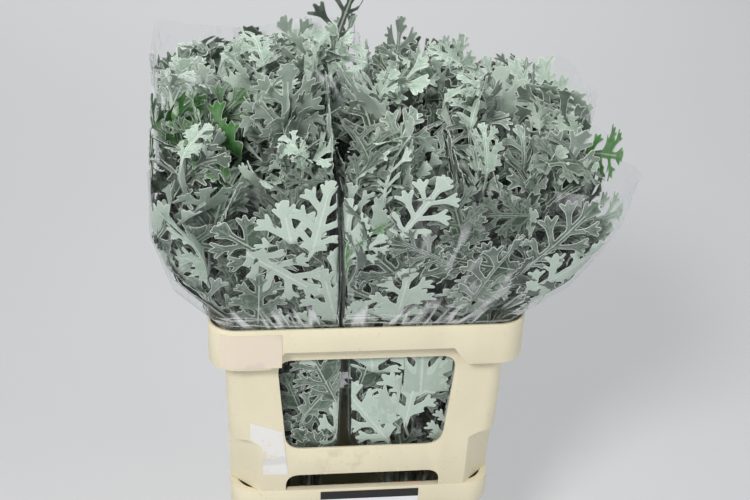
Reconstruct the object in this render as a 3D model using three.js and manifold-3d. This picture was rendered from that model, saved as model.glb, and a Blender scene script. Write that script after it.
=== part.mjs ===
// A bucket of dusty miller: four sleeved bunches of lobed silver leaves in a moulded bucket with its riser.
// Millimetres, +Z up, front towards -Y, origin at the middle of the bucket's underside.
import * as THREE from "three";
import { mergeVertices } from "three/addons/utils/BufferGeometryUtils.js";
import Module from "manifold-3d";

const wasm = await Module();
wasm.setup();

// ---- Driving dimensions -------------------------------------------------------------------------
const GAP = 0.3; // clearance between pieces that touch
const WALL = 3; // moulded wall of the bucket and the riser

const BUCKET = {
  height: 250,
  foot: { width: 290, depth: 190, radius: 28 },
  top: { width: 330, depth: 230, radius: 30 },
  rim: { width: 343, depth: 243, radius: 34, band: 34 },
};

const RISER = {
  height: 257.4,
  foot: { width: 341, depth: 241, radius: 22, chamfer: 37 },
  top: { width: 353, depth: 253, radius: 24 },
  chamferTop: 75, // height of the flat corner facets above the riser's foot
  chamferRise: 9, // height of the slope that closes each facet
  rim: { width: 390, depth: 290, radius: 35 },
  recess: 22, // depth of the stacking recess under the rim's top edge
  skirtCorner: 55.3, // skirt height at the corners
  skirtMiddle: 31.8, // skirt height between the slanted steps
  stepWidth: 18.2, // width of each slanted step
};

// Openings of the long sides and of the short sides; heights are measured down from the rim's top edge.
const WINDOWS = [
  { along: "x", top: 224.6, bottom: 200.2, high: 54.9, low: 191.1, radius: 21 },
  { along: "y", top: 132, bottom: 116, high: 60, low: 185, radius: 20 },
];
const NOTCHES = [
  { along: "x", width: 201, height: 24, radius: 18 },
  { along: "y", width: 116, height: 20, radius: 15 },
];
const SKIRT_CUTS = [
  { along: "x", half: 103.3 },
  { along: "y", half: 58 },
];

const WATER_LEVEL = 80;
const TIE = { height: 215, band: 5, thickness: 1.2 }; // height of its top edge, its width and thickness
const STEM = {
  foot: 3, // radius at the foot
  top: 1.5, // radius at the top
  sides: 5,
  bends: [320, 435, 590], // heights where a stem may bend
  crown: 735, // height at which its place in the crown is read
  belowCrown: 130, // how far below the crown it ends
  lowestLeaf: 268,
  lowestInnerLeaf: 400,
};
const SLEEVE = {
  foot: 150,
  film: 0.7, // thickness of the film
  clear: 0.5, // least space between the film and a stem's leaves
  steps: 3, // straight faces round each corner
  mouthWave: 11, // rise and fall of the mouth
  waveTurn: 1.9, // turn of that wave from one corner point to the next
};

const LEAF = {
  thickness: 0.8,
  stations: 14, // steps along the midrib
  length: [108, 138],
  halfWidth: [37, 49],
  petiole: [12, 30],
  tilt: [0.95, 0.8], // from upright, for the lowest and the highest leaves, in radians
  tiltSpread: 0.7,
  topTilt: 0.35, // the most that a stem's last leaf leans
  droop: [-0.33, 0.77],
  turn: 2.399963, // from one leaf to the next round the stem, in radians
  turnSpread: 0.7,
  roll: 0.45,
  cup: 0.16, // rise of the blade's edges over its midrib, as a share of their distance
  clear: 2.2, // space between the film and the lines that hold the leaves in
};

// A stem's cell is its share of its bunch. The walls between cells sway a little with height.
const CELL = {
  gap: 1.2, // half of the space kept between neighbouring stems
  reach: 12, // distance over which a blade turns to lie along a wall between cells
  filmReach: 34, // the same along the film
  sway: 0.03, // share of the bunch's size
  swayLengths: [47, 39], // of the walls across and along the bunch
};

// Blades span the flare of the film above the rim, so for them it starts lower by this lag, which grows and
// fades between these heights.
const FLARE = { lag: 18, from: [465, 495], to: [580, 650] };

const MERGE = 0.02; // points of a leafy stem that lie closer than this become one
const SMOOTHED = 0.05; // how far a leafy stem's surface may move where slivers are taken out of it

const RIM_Z = BUCKET.height + GAP + RISER.height;

// Outer faces of the four sleeves together, by height. Between left and right bunches runs a seam, with its
// middle at frontX before the middle of the bucket and at backX behind it, and gapX is half its width; the
// seam between front and back bunches lies at y = 0, and gapY is half its width.
const envelopeLevel = (z, [left, right], [front, back], [frontX, backX], [gapX, gapY], radius) => ({
  ...{ z, left, right, front, back },
  ...{ frontX, backX, gapX, gapY, radius },
});
const ENVELOPE = [
  envelopeLevel(320, [-163, 163], [-114, 114], [-25, 6], [6, 5], 40),
  envelopeLevel(435, [-168.5, 168.5], [-118.5, 118.5], [-26, 6], [3, 3], 36),
  envelopeLevel(486, [-173.2, 173.2], [-123.2, 123.2], [-31, 6], [2, 2], 36),
  envelopeLevel(509, [-191.2, 191.2], [-141.2, 141.2], [-36, 6], [1, 1], 35),
  envelopeLevel(565, [-236, 247], [-166, 165], [-38, 7], [1, 1], 38),
  envelopeLevel(640, [-257, 287], [-188, 186], [-42, 8], [1, 1], 40),
  envelopeLevel(735, [-257, 311], [-197, 196], [-48, 10], [1, 1], 42),
  envelopeLevel(800, [-262, 322], [-204, 204], [-50, 10], [1, 1], 42),
  envelopeLevel(900, [-262, 326], [-204, 204], [-50, 10], [1, 1], 42),
];

// Each bunch: where its tied stems stand, its quarter of the envelope, the height of its sleeve's mouth, the
// stems in its outer row, along the film, and in its inner row, next to the bunch behind or in front, and the
// seed its stems draw their leaves from.
const BUNCHES = [
  {
    ...{ name: "front_left", x: -84, y: -50, right: false, back: false },
    ...{ mouth: 712, outer: 2, inner: 2, seed: 20409 },
  },
  {
    ...{ name: "front_right", x: 68, y: -50, right: true, back: false },
    ...{ mouth: 706, outer: 3, inner: 3, seed: 20508 },
  },
  {
    ...{ name: "back_left", x: -72, y: 50, right: false, back: true },
    ...{ mouth: 780, outer: 2, inner: 3, seed: 20608 },
  },
  {
    ...{ name: "back_right", x: 80, y: 50, right: true, back: true },
    ...{ mouth: 728, outer: 3, inner: 2, seed: 20708 },
  },
];
const TIED = { halfWidth: 34, halfDepth: 30, radius: 22 }; // a sleeve's section round the tied stems
const OUTER_ROW = 0.55; // the outer row's share of a bunch's depth
const LEAVES = { outer: 9, inner: 6 }; // leaves on each stem of a row

// Half of a blade's outline from its base to its tip, as shares of its length and of its half width.
const BLADE = {
  base: [0, 0.07],
  lobes: [
    [0.3, 0.72],
    [0.55, 1],
    [0.82, 0.8],
  ],
  sinuses: [
    [0.21, 0.19],
    [0.44, 0.25],
    [0.69, 0.25],
  ],
};

// Crown of the whole bucketful: its height above the rim and how far it falls towards each side.
const CROWN = { height: 318, middle: -10, halfWidth: 300, halfDepth: 195, side: 85, front: 96, back: 30 };

// Labels and the card. Outlines are across the wall and down from the rim's top edge.
const LABEL = {
  thickness: 0.6,
  rim: { right: -107, turn: 0.62, top: 6, height: 46 }, // turn: the angle it covers on the corner
  post: [
    [-146, -146],
    [-146, -172],
    [-131, -185],
    [-130, -229],
    [-97.5, -231],
    [-104.5, -163],
  ],
  side: [
    [-74, -186],
    [-78, -236],
    [-50, -236],
    [-46, -186],
  ],
  card: { left: -55, right: 74, foot: 219, height: 27 },
};

const COLOURS = {
  plastic: "#ece3c6",
  leaf: "#a9bcab",
  film: "#e8eef0",
  water: "#c9d6d2",
  tie: "#b5352a",
  pinkLabel: "#e8d8cc",
  paper: "#eeeeea",
};

// ---- Solids -------------------------------------------------------------------------------------

/** A closed solid from points and triangles. */
function solidOf(points, triangles) {
  return new wasm.Manifold(
    new wasm.Mesh({
      numProp: 3,
      vertProperties: new Float32Array(points.flat()),
      triVerts: new Uint32Array(triangles.flat()),
    }),
  );
}

/** A closed solid from a three.js geometry, its points merged where they lie closer than a distance. */
function solidFrom(geometry, distance = 1e-4) {
  const bare = geometry.clone();
  bare.deleteAttribute("normal");
  bare.deleteAttribute("uv");
  const merged = mergeVertices(bare, distance);
  const all = Array.from(merged.index.array);
  const kept = [];
  for (let i = 0; i < all.length; i += 3) {
    const [a, b, c] = all.slice(i, i + 3);
    if (a !== b && b !== c && c !== a) kept.push(a, b, c);
  }
  return new wasm.Manifold(
    new wasm.Mesh({
      numProp: 3,
      vertProperties: new Float32Array(merged.attributes.position.array),
      triVerts: new Uint32Array(kept),
    }),
  );
}

/** The largest body of a solid, with any hollow sealed inside it filled and loose scraps dropped. */
function largestBody(solid) {
  const bodies = solid.decompose();
  return bodies.reduce((best, body) => (body.volume() > best.volume() ? body : best));
}

function geometryOf(solid) {
  const { vertProperties, numProp, triVerts } = solid.getMesh();
  const positions = new Float32Array((vertProperties.length / numProp) * 3);
  for (let i = 0; i * numProp < vertProperties.length; i++) {
    positions.set(vertProperties.subarray(i * numProp, i * numProp + 3), i * 3);
  }
  const geometry = new THREE.BufferGeometry();
  geometry.setAttribute("position", new THREE.BufferAttribute(positions, 3));
  geometry.setIndex(new THREE.BufferAttribute(new Uint32Array(triVerts), 1));
  geometry.computeVertexNormals();
  return geometry;
}

function namedMesh(name, solid, color, roughness, extra = {}) {
  const material = new THREE.MeshStandardMaterial({ color, roughness, metalness: 0, ...extra });
  const mesh = new THREE.Mesh(geometryOf(solid), material);
  mesh.name = name;
  return mesh;
}

/** Points of a rectangle with round corners, anticlockwise; straight cuts replace arcs if cut is given. */
function roundedRectangle({ left, right, front, back, radius, cut = 0 }, steps = 3) {
  const reach = cut || radius;
  const corners = [
    { x: right - reach, y: front + reach, turn: -Math.PI / 2 },
    { x: right - reach, y: back - reach, turn: 0 },
    { x: left + reach, y: back - reach, turn: Math.PI / 2 },
    { x: left + reach, y: front + reach, turn: Math.PI },
  ];
  return corners.flatMap(({ x, y, turn }) =>
    Array.from({ length: steps + 1 }, (_, k) => {
      const angle = turn + (k / steps) * (Math.PI / 2);
      if (!cut) return [x + reach * Math.cos(angle), y + reach * Math.sin(angle)];
      const share = k / steps;
      const start = [Math.cos(turn), Math.sin(turn)];
      const end = [-Math.sin(turn), Math.cos(turn)];
      return [
        x + reach * (start[0] + (end[0] - start[0]) * share),
        y + reach * (start[1] + (end[1] - start[1]) * share),
      ];
    }),
  );
}

const centred = ({ width, depth, radius }, inset = 0, cut = 0) => ({
  left: inset - width / 2,
  right: width / 2 - inset,
  front: inset - depth / 2,
  back: depth / 2 - inset,
  radius: Math.max(radius - inset, 1),
  cut: cut ? cut - inset * (2 - Math.SQRT2) : 0,
});

/** A size between two sizes. */
const between = (a, b, share) => ({
  width: a.width + (b.width - a.width) * share,
  depth: a.depth + (b.depth - a.depth) * share,
  radius: a.radius + (b.radius - a.radius) * share,
});

/** A solid through rings of equally many points, given from the bottom up. */
function loft(rings) {
  const count = rings[0].points.length;
  const points = rings.flatMap(({ z, points: ring }) => ring.map(([x, y]) => [x, y, z]));
  const triangles = [];
  for (let level = 0; level + 1 < rings.length; level++) {
    for (let i = 0; i < count; i++) {
      const a = level * count + i;
      const b = level * count + ((i + 1) % count);
      triangles.push([a, b, b + count], [a, b + count, a + count]);
    }
  }
  const top = (rings.length - 1) * count;
  for (let i = 1; i + 1 < count; i++) {
    triangles.push([0, i + 1, i], [top, top + i, top + i + 1]);
  }
  return solidOf(points, triangles);
}

/** A prism: an outline in the x-z plane (or y-z plane) drawn through the whole piece. */
function crossCut(outline, along, reach) {
  const shape = new THREE.Shape(outline.map(([u, z]) => new THREE.Vector2(u, z)));
  const prism = new THREE.ExtrudeGeometry(shape, { depth: 2 * reach, bevelEnabled: false });
  prism.translate(0, 0, -reach);
  prism.rotateX(Math.PI / 2);
  if (along === "y") prism.rotateZ(Math.PI / 2);
  return solidFrom(prism);
}

/** Outline of a four-sided opening with round corners, given anticlockwise. */
function roundedOutline(corners, radius, steps = 3) {
  return corners.flatMap((corner, i) => {
    const [before, after] = [corners.at(i - 1), corners[(i + 1) % corners.length]].map((other) => {
      const arm = [other[0] - corner[0], other[1] - corner[1]];
      const length = Math.hypot(...arm);
      return [corner[0] + (arm[0] / length) * radius, corner[1] + (arm[1] / length) * radius];
    });
    return Array.from({ length: steps + 1 }, (_, k) => {
      const t = k / steps;
      const weights = [(1 - t) ** 2, 2 * t * (1 - t), t ** 2];
      return [0, 1].map((c) => weights[0] * before[c] + weights[1] * corner[c] + weights[2] * after[c]);
    });
  });
}

// ---- Bucket, riser and water --------------------------------------------------------------------

function bucketSolid() {
  const { height, foot, top, rim } = BUCKET;
  const ring = (size, z, inset = 0) => ({ z, points: roundedRectangle(centred(size, inset)) });
  const outside = loft([ring(foot, 0), ring(top, height)]);
  const band = loft([ring(rim, height - rim.band), ring(rim, height)]);
  const underBand = loft([ring(rim, height - rim.band - 1, WALL), ring(rim, height - WALL, WALL)]);
  const inside = loft([
    ring(between(foot, top, WALL / height), WALL, WALL),
    ring(between(foot, top, 1 + 1 / height), height + 1, WALL),
  ]);
  return band.subtract(underBand).add(outside).subtract(inside);
}

/** The riser's wall at a height above its foot: its size, and its corner cut below the facets' tops. */
function riserRing(height, inset, cutCorners) {
  const { foot, top, recess } = RISER;
  const size = between(foot, top, height / (RISER.height - recess));
  const z = BUCKET.height + GAP + height;
  return { z, points: roundedRectangle(centred(size, inset, cutCorners ? foot.chamfer : 0)) };
}

function riserWall(inset, from, to) {
  const facet = RISER.chamferTop - (inset ? 1 : 0);
  return loft([
    riserRing(from, inset, true),
    riserRing(facet, inset, true),
    riserRing(facet + RISER.chamferRise, inset, false),
    riserRing(to, inset, false),
  ]);
}

function skirtSolid() {
  const { rim, skirtCorner, skirtMiddle, stepWidth } = RISER;
  const ring = (z, inset) => ({ z, points: roundedRectangle(centred(rim, inset)) });
  let skirt = loft([ring(RIM_Z - skirtCorner, 0), ring(RIM_Z, 0)]).subtract(
    loft([ring(RIM_Z - skirtCorner - 1, WALL), ring(RIM_Z + 1, WALL)]),
  );
  const past = 4; // the cut runs this far below the skirt
  const slope = stepWidth / (skirtCorner - skirtMiddle);
  const fall = skirtCorner - skirtMiddle + past;
  for (const { along, half } of SKIRT_CUTS) {
    const outline = [
      [-half - slope * fall, RIM_Z - skirtCorner - past],
      [half + slope * fall, RIM_Z - skirtCorner - past],
      [half, RIM_Z - skirtMiddle],
      [-half, RIM_Z - skirtMiddle],
    ];
    skirt = skirt.subtract(crossCut(outline, along, rim.width));
  }
  return skirt;
}

function riserSolid() {
  const { rim, recess, height } = RISER;
  const shelf = loft(
    [RIM_Z - recess - WALL, RIM_Z - recess].map((z) => ({ z, points: roundedRectangle(centred(rim, 1)) })),
  );
  let riser = riserWall(0, 0, height - recess)
    .add(shelf)
    .add(skirtSolid())
    .subtract(riserWall(WALL, -1, height - recess + 1));
  for (const { along, top, bottom, high, low, radius } of WINDOWS) {
    const corners = [
      [-bottom / 2, RIM_Z - low],
      [bottom / 2, RIM_Z - low],
      [top / 2, RIM_Z - high],
      [-top / 2, RIM_Z - high],
    ];
    riser = riser.subtract(crossCut(roundedOutline(corners, radius), along, rim.width));
  }
  const footZ = BUCKET.height + GAP;
  for (const { along, width, height: rise, radius } of NOTCHES) {
    const corners = [
      [-width / 2, footZ - 30],
      [width / 2, footZ - 30],
      [width / 2, footZ + rise],
      [-width / 2, footZ + rise],
    ];
    riser = riser.subtract(crossCut(roundedOutline(corners, radius), along, rim.width));
  }
  return riser;
}

function waterSolid(stems) {
  const { foot, top, height } = BUCKET;
  const bottom = WALL + GAP;
  const ring = (z) => ({ z, points: roundedRectangle(centred(between(foot, top, z / height), WALL + GAP)) });
  const water = loft([ring(bottom), ring(WATER_LEVEL)]);
  const hole = STEM.foot + GAP / Math.cos(Math.PI / STEM.sides);
  const pipe = ([x, y]) =>
    loft([bottom - 1, WATER_LEVEL + 1].map((z) => ({ z, points: polygon(x, y, hole, STEM.sides) })));
  return stems.reduce((left, stem) => left.subtract(pipe(stem)), water);
}

function polygon(x, y, radius, sides) {
  return Array.from({ length: sides }, (_, k) => {
    const angle = (2 * Math.PI * k) / sides;
    return [x + radius * Math.cos(angle), y + radius * Math.sin(angle)];
  });
}

// ---- The space of each bunch and each stem ------------------------------------------------------

const lerp = (a, b, share) => a + (b - a) * share;
const { clamp, smoothstep } = THREE.MathUtils;

/** The envelope at a height, between its two nearest levels. */
function envelopeAt(z) {
  const above = Math.max(1, ENVELOPE.findIndex((level) => level.z >= z));
  const [low, high] = [ENVELOPE[above - 1], ENVELOPE[above]];
  const share = (z - low.z) / (high.z - low.z);
  return Object.fromEntries(Object.keys(low).map((key) => [key, lerp(low[key], high[key], share)]));
}

/** Outer faces of one bunch's sleeve at a height. */
function bunchSection(bunch, z) {
  const tied = {
    left: bunch.x - TIED.halfWidth,
    right: bunch.x + TIED.halfWidth,
    front: bunch.y - TIED.halfDepth,
    back: bunch.y + TIED.halfDepth,
    radius: TIED.radius,
  };
  if (z <= TIE.height) return tied;
  const e = envelopeAt(Math.max(z, ENVELOPE[0].z));
  const seam = bunch.back ? e.backX : e.frontX;
  const open = {
    left: bunch.right ? seam + e.gapX : e.left,
    right: bunch.right ? e.right : seam - e.gapX,
    front: bunch.back ? e.gapY : e.front,
    back: bunch.back ? e.back : -e.gapY,
    radius: e.radius,
  };
  if (z >= ENVELOPE[0].z) return open;
  const share = (z - TIE.height) / (ENVELOPE[0].z - TIE.height);
  return Object.fromEntries(Object.keys(open).map((key) => [key, lerp(tied[key], open[key], share)]));
}

/** The cells of a bunch, one for each stem: their shares of its width, the outer row first. */
function cellsOf(bunch) {
  const row = (count, outer) =>
    Array.from({ length: count }, (_, i) => ({ from: i / count, to: (i + 1) / count, outer }));
  return [...row(bunch.outer, true), ...row(bunch.inner, false)];
}

/** Limits of one stem's cell at a height, a given margin inside the film and the neighbouring cells. */
function cellSection(bunch, cell, z, margin) {
  const flare = smoothstep(z, ...FLARE.from) * (1 - smoothstep(z, ...FLARE.to));
  const section = bunchSection(bunch, z - FLARE.lag * flare);
  const film = SLEEVE.film + LEAF.clear + margin;
  const wall = CELL.gap + margin * (CELL.reach / CELL.filmReach);
  const isFilm = (share) => share === 0 || share === 1;
  const clearOf = (share) => (isFilm(share) ? film : wall);
  const across = CELL.sway * Math.sin(z / CELL.swayLengths[0] + bunch.x);
  const along = CELL.sway * Math.sin(z / CELL.swayLengths[1] + bunch.y);
  const placeX = (share) => lerp(section.left, section.right, isFilm(share) ? share : share + across);
  const placeY = (share) => lerp(section.front, section.back, isFilm(share) ? share : share + along);
  const divide = bunch.back ? 1 - OUTER_ROW : OUTER_ROW;
  const [front, back] = cell.outer === bunch.back ? [divide, 1] : [0, divide];
  return {
    left: placeX(cell.from) + clearOf(cell.from),
    right: placeX(cell.to) - clearOf(cell.to),
    front: placeY(front) + clearOf(front),
    back: placeY(back) - clearOf(back),
    section,
    film,
  };
}

/** The nearest point to p inside a cell, a given margin in from its walls. */
function heldInside(p, bunch, cell, margin) {
  const c = cellSection(bunch, cell, p[2], margin);
  let x = clamp(p[0], Math.min(c.left, c.right), Math.max(c.left, c.right));
  let y = clamp(p[1], Math.min(c.front, c.back), Math.max(c.front, c.back));
  const { section, film } = c;
  const radius = Math.max(section.radius - film, 4);
  const chord = radius * Math.cos(Math.PI / 4 / SLEEVE.steps);
  const cornerX = clamp(x, section.left + film + radius, section.right - film - radius);
  const cornerY = clamp(y, section.front + film + radius, section.back - film - radius);
  const distance = Math.hypot(x - cornerX, y - cornerY);
  const isCorner = x !== cornerX && y !== cornerY;
  if (isCorner && distance > chord) {
    x = cornerX + ((x - cornerX) * chord) / distance;
    y = cornerY + ((y - cornerY) * chord) / distance;
  }
  return [x, y, p[2]];
}

// ---- Leafy stems --------------------------------------------------------------------------------

/** A repeatable random number generator. */
function randomFrom(seed) {
  let state = seed >>> 0;
  return () => {
    state = (state + 0x6d2b79f5) >>> 0;
    let t = state;
    t = Math.imul(t ^ (t >>> 15), t | 1);
    t ^= t + Math.imul(t ^ (t >>> 7), t | 61);
    return ((t ^ (t >>> 14)) >>> 0) / 4294967296;
  };
}

const add = (a, b, scale = 1) => a.map((value, i) => value + b[i] * scale);
const dot = (a, b) => a[0] * b[0] + a[1] * b[1] + a[2] * b[2];
const cross = (a, b) => [a[1] * b[2] - a[2] * b[1], a[2] * b[0] - a[0] * b[2], a[0] * b[1] - a[1] * b[0]];
const unit = (a) => {
  const length = Math.hypot(...a);
  return a.map((value) => value / length);
};

function crownHeight(x, y) {
  const across = (x - CROWN.middle) / CROWN.halfWidth;
  const depth = y / CROWN.halfDepth;
  const fall = CROWN.side * across ** 2 + (y < 0 ? CROWN.front : CROWN.back) * depth ** 2;
  return RIM_Z + CROWN.height - fall;
}

/** The bends of a stem: up to the tie, then spreading with the middle of its cell to below the crown. */
function stemBends(bunch, cell) {
  const middle = (z) => {
    const c = cellSection(bunch, cell, z, 0);
    return [(c.left + c.right) / 2, (c.front + c.back) / 2];
  };
  const top = crownHeight(...middle(STEM.crown)) - STEM.belowCrown;
  const heights = [TIE.height, ...STEM.bends.filter((z) => z < top - 20), top];
  return [[...middle(TIE.height), WALL + GAP], ...heights.map((z) => [...middle(z), z])];
}

function stemPoint(bends, z) {
  const above = Math.max(1, bends.findIndex((bend) => bend[2] >= z));
  const [low, high] = [bends[above - 1], bends[above]];
  const share = (z - low[2]) / (high[2] - low[2]);
  return low.map((value, i) => lerp(value, high[i], share));
}

function stemSolid(bends) {
  const top = bends.at(-1)[2];
  return loft(
    bends.map(([x, y, z]) => {
      const radius = lerp(STEM.foot, STEM.top, Math.max(0, z - TIE.height) / (top - TIE.height));
      return { z, points: polygon(x, y, radius, STEM.sides) };
    }),
  );
}

/** The sizes and attitude of each leaf on a stem, drawn from its own random sequence. */
function leavesOf(bunch, cell, bends, seed) {
  const random = randomFrom(seed);
  const top = bends.at(-1)[2] - 6;
  const lowest = cell.outer ? STEM.lowestLeaf : STEM.lowestInnerLeaf;
  const outward = (bunch.back ? 1 : -1) * (Math.PI / 2);
  const start = random() * 2 * Math.PI;
  const count = cell.outer ? LEAVES.outer : LEAVES.inner;
  return Array.from({ length: count }, (_, i) => {
    const draws = Array.from({ length: 8 }, random);
    const rise = (i + 0.35 * (draws[0] - 0.5)) / (count - 1);
    const height = Math.min(top, lerp(lowest, top, Math.max(0, rise) ** 0.75));
    const turn = start + i * LEAF.turn + LEAF.turnSpread * (draws[1] - 0.5);
    const away = Math.atan2(Math.sin(turn - outward), Math.cos(turn - outward));
    const upper = i / (count - 1);
    const tilt = lerp(...LEAF.tilt, upper) + LEAF.tiltSpread * (draws[2] - 0.5);
    return {
      root: stemPoint(bends, height),
      azimuth: cell.outer ? outward + 0.8 * away : turn,
      tilt: i === count - 1 ? LEAF.topTilt * draws[2] : tilt,
      droop: lerp(...LEAF.droop, draws[3]) * (0.3 + upper),
      petiole: lerp(...LEAF.petiole, draws[4]),
      length: lerp(...LEAF.length, draws[5]) * (1 + 0.06 * upper),
      halfWidth: lerp(...LEAF.halfWidth, draws[6]),
      roll: LEAF.roll * (draws[7] - 0.5) * 2,
    };
  });
}

/** Stations along a midrib: point, direction, sideways vector and upper side, bent clear of the walls. */
function midrib(leaf, bunch, cell) {
  const total = leaf.petiole + leaf.length;
  const step = total / LEAF.stations;
  const flat = [Math.cos(leaf.azimuth), Math.sin(leaf.azimuth)];
  let point = leaf.root;
  let direction = [flat[0] * Math.sin(leaf.tilt), flat[1] * Math.sin(leaf.tilt), Math.cos(leaf.tilt)];
  const level = [-flat[1], flat[0], 0];
  const stations = [];
  for (let k = 0; k <= LEAF.stations; k++) {
    const crowd = add(point, heldInside(point, bunch, cell, CELL.filmReach), -1);
    const closeness = Math.min(1, Math.hypot(...crowd) / CELL.filmReach);
    const face = cross(direction, level);
    let side = add(level.map((value) => value * Math.cos(leaf.roll)), face, Math.sin(leaf.roll));
    if (closeness > 0) {
      const along = cross(direction, unit(crowd));
      side = add(side.map((value) => value * (1 - closeness)), along, closeness);
    }
    side = unit(add(side, direction, -dot(side, direction)));
    stations.push({ point, direction, side, upper: cross(direction, side), flatness: closeness });
    const bent = unit(add(direction, [flat[0], flat[1], -0.6], leaf.droop / LEAF.stations));
    const next = heldInside(add(point, bent, step), bunch, cell, 0.6);
    direction = unit(add(next, point, -1));
    point = next;
  }
  return stations;
}

/** A point of the blade: its place along the midrib (0 root, 1 tip), its distance to one side. */
function bladePoint(stations, along, aside, bunch, cell) {
  const at = Math.min(along, 1) * LEAF.stations;
  const index = Math.min(Math.floor(at), LEAF.stations - 1);
  const [a, b] = [stations[index], stations[index + 1]];
  const mix = (key) => add(a[key].map((value) => value * (1 - (at - index))), b[key], at - index);
  const side = unit(mix("side"));
  const upper = unit(mix("upper"));
  const flatness = lerp(a.flatness, b.flatness, at - index);
  const lift = LEAF.cup * (1 - 0.85 * flatness) * Math.abs(aside);
  const loose = add(add(mix("point"), side, aside), upper, lift);
  const held = heldInside(loose, bunch, cell, 0.5);
  return { point: held, upper };
}

function leafSolid(leaf, bunch, cell) {
  const stations = midrib(leaf, bunch, cell);
  const total = leaf.petiole + leaf.length;
  const place = ([u, v], sign) =>
    bladePoint(stations, (leaf.petiole + u * leaf.length) / total, sign * v * leaf.halfWidth, bunch, cell);
  const pair = (spot) => [place(spot, 1), place(spot, -1)];
  const outline = [
    { point: stations[0].point, upper: stations[0].upper }, // 0, the root
    ...pair(BLADE.base), // 1, 2
    ...BLADE.lobes.flatMap(pair), // 3 to 8
    ...BLADE.sinuses.flatMap(pair), // 9 to 14
    place([1, 0], 1), // 15, the tip
  ];
  const rib = [1, 9, 11, 13];
  const lobes = [3, 5, 7];
  const faces = [[0, 1, 2], [14, 13, 15]];
  lobes.forEach((lobe, k) => {
    const [here, ahead] = [rib[k], rib[k + 1]];
    faces.push([here + 1, here, ahead], [here + 1, ahead, ahead + 1]);
    faces.push([here, lobe, ahead], [here + 1, ahead + 1, lobe + 1]);
  });
  const rim = [0, 2, 4, 10, 6, 12, 8, 14, 15, 13, 7, 11, 5, 9, 3, 1];
  const count = outline.length;
  const half = LEAF.thickness / 2;
  const points = [1, -1].flatMap((sign) => outline.map(({ point, upper }) => add(point, upper, sign * half)));
  const triangles = faces.flatMap(([a, b, c]) => [
    [a, c, b],
    [a + count, b + count, c + count],
  ]);
  rim.forEach((a, i) => {
    const b = rim[(i + 1) % rim.length];
    triangles.push([a, a + count, b + count], [a, b + count, b]);
  });
  return solidOf(points, triangles);
}

/** A stem with its leaves fused to it, and whatever would still reach past its own space taken off. */
function leafyStem(bunch, cell, room, seed) {
  const bends = stemBends(bunch, cell);
  const space = room.intersect(cellRoom(bunch, cell));
  const leaves = leavesOf(bunch, cell, bends, seed).map((leaf) => leafSolid(leaf, bunch, cell));
  const fitted = leaves.map((leaf) => (leaf.subtract(space).isEmpty() ? leaf : leaf.intersect(space)));
  const plant = fitted.reduce((grown, leaf) => grown.add(leaf), stemSolid(bends));
  const welded = solidFrom(geometryOf(largestBody(plant.simplify(SMOOTHED))), MERGE);
  return largestBody(welded.simplify(SMOOTHED));
}

/** The room of one stem among its neighbours, up to just short of the middle between two cells. */
function cellRoom(bunch, cell) {
  const levels = 12;
  const past = CELL.gap - GAP / 2;
  const top = ENVELOPE.at(-1).z;
  return loft(
    Array.from({ length: levels + 1 }, (_, k) => {
      const z = lerp(TIE.height, top, k / levels);
      const c = cellSection(bunch, cell, z, 0);
      const [left, right, front, back] = [c.left - past, c.right + past, c.front - past, c.back + past];
      return { z, points: [[right, front], [right, back], [left, back], [left, front]] };
    }),
  );
}

/** The room inside a bunch's sleeve, carried on above its mouth. */
function roomInside(bunch) {
  const heights = [TIE.height, ...ENVELOPE.map(({ z }) => z)];
  return loft(heights.map((z) => ({ z, points: sleeveRing(bunch, z, SLEEVE.film + SLEEVE.clear) })));
}

// ---- Sleeves, ties and labels -------------------------------------------------------------------

/** The sleeve's outline at a height, a given distance in from its outer face. */
function sleeveRing(bunch, z, inset) {
  const s = bunchSection(bunch, z);
  return roundedRectangle(
    {
      left: s.left + inset,
      right: s.right - inset,
      front: s.front + inset,
      back: s.back - inset,
      radius: s.radius - inset,
    },
    SLEEVE.steps,
  );
}

/** One sleeve: an open film tube that follows its bunch from below the tie to its waved mouth. */
function sleeveSolid(bunch) {
  const middle = ENVELOPE.map(({ z }) => z).filter((z) => z < bunch.mouth - 30);
  const levels = [SLEEVE.foot, TIE.height, ...middle, bunch.mouth];
  const count = 4 * (SLEEVE.steps + 1);
  const points = [0, SLEEVE.film].flatMap((inset) =>
    levels.flatMap((level, k) =>
      Array.from({ length: count }, (_, i) => {
        const rise = SLEEVE.mouthWave * Math.sin(i * SLEEVE.waveTurn + bunch.x);
        const wave = k === levels.length - 1 ? rise : 0;
        return [...sleeveRing(bunch, level + wave, inset)[i], level + wave];
      }),
    ),
  );
  const shell = levels.length * count;
  const triangles = [];
  const quad = (a, b, c, d) => triangles.push([a, b, c], [a, c, d]);
  for (let i = 0; i < count; i++) {
    const j = (i + 1) % count;
    for (let k = 0; k + 1 < levels.length; k++) {
      const [low, high] = [k * count, (k + 1) * count];
      quad(low + i, low + j, high + j, high + i);
      quad(shell + low + j, shell + low + i, shell + high + i, shell + high + j);
    }
    const top = (levels.length - 1) * count;
    quad(j, i, shell + i, shell + j);
    quad(top + i, top + j, shell + top + j, shell + top + i);
  }
  return solidOf(points, triangles);
}

/** Outline a given distance outside a convex loop of points, round at its corners. */
function outlineRound(points, distance, steps = 2) {
  return points.flatMap(([x, y], i) => {
    const normal = ([ax, ay], [bx, by]) => Math.atan2(ax - bx, by - ay);
    const from = normal(points.at(i - 1), points[i]);
    const to = normal(points[i], points[(i + 1) % points.length]);
    const turn = (to - from + 4 * Math.PI) % (2 * Math.PI);
    return Array.from({ length: steps + 1 }, (_, k) => {
      const angle = from + (turn * k) / steps;
      return [x + distance * Math.cos(angle), y + distance * Math.sin(angle)];
    });
  });
}

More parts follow.
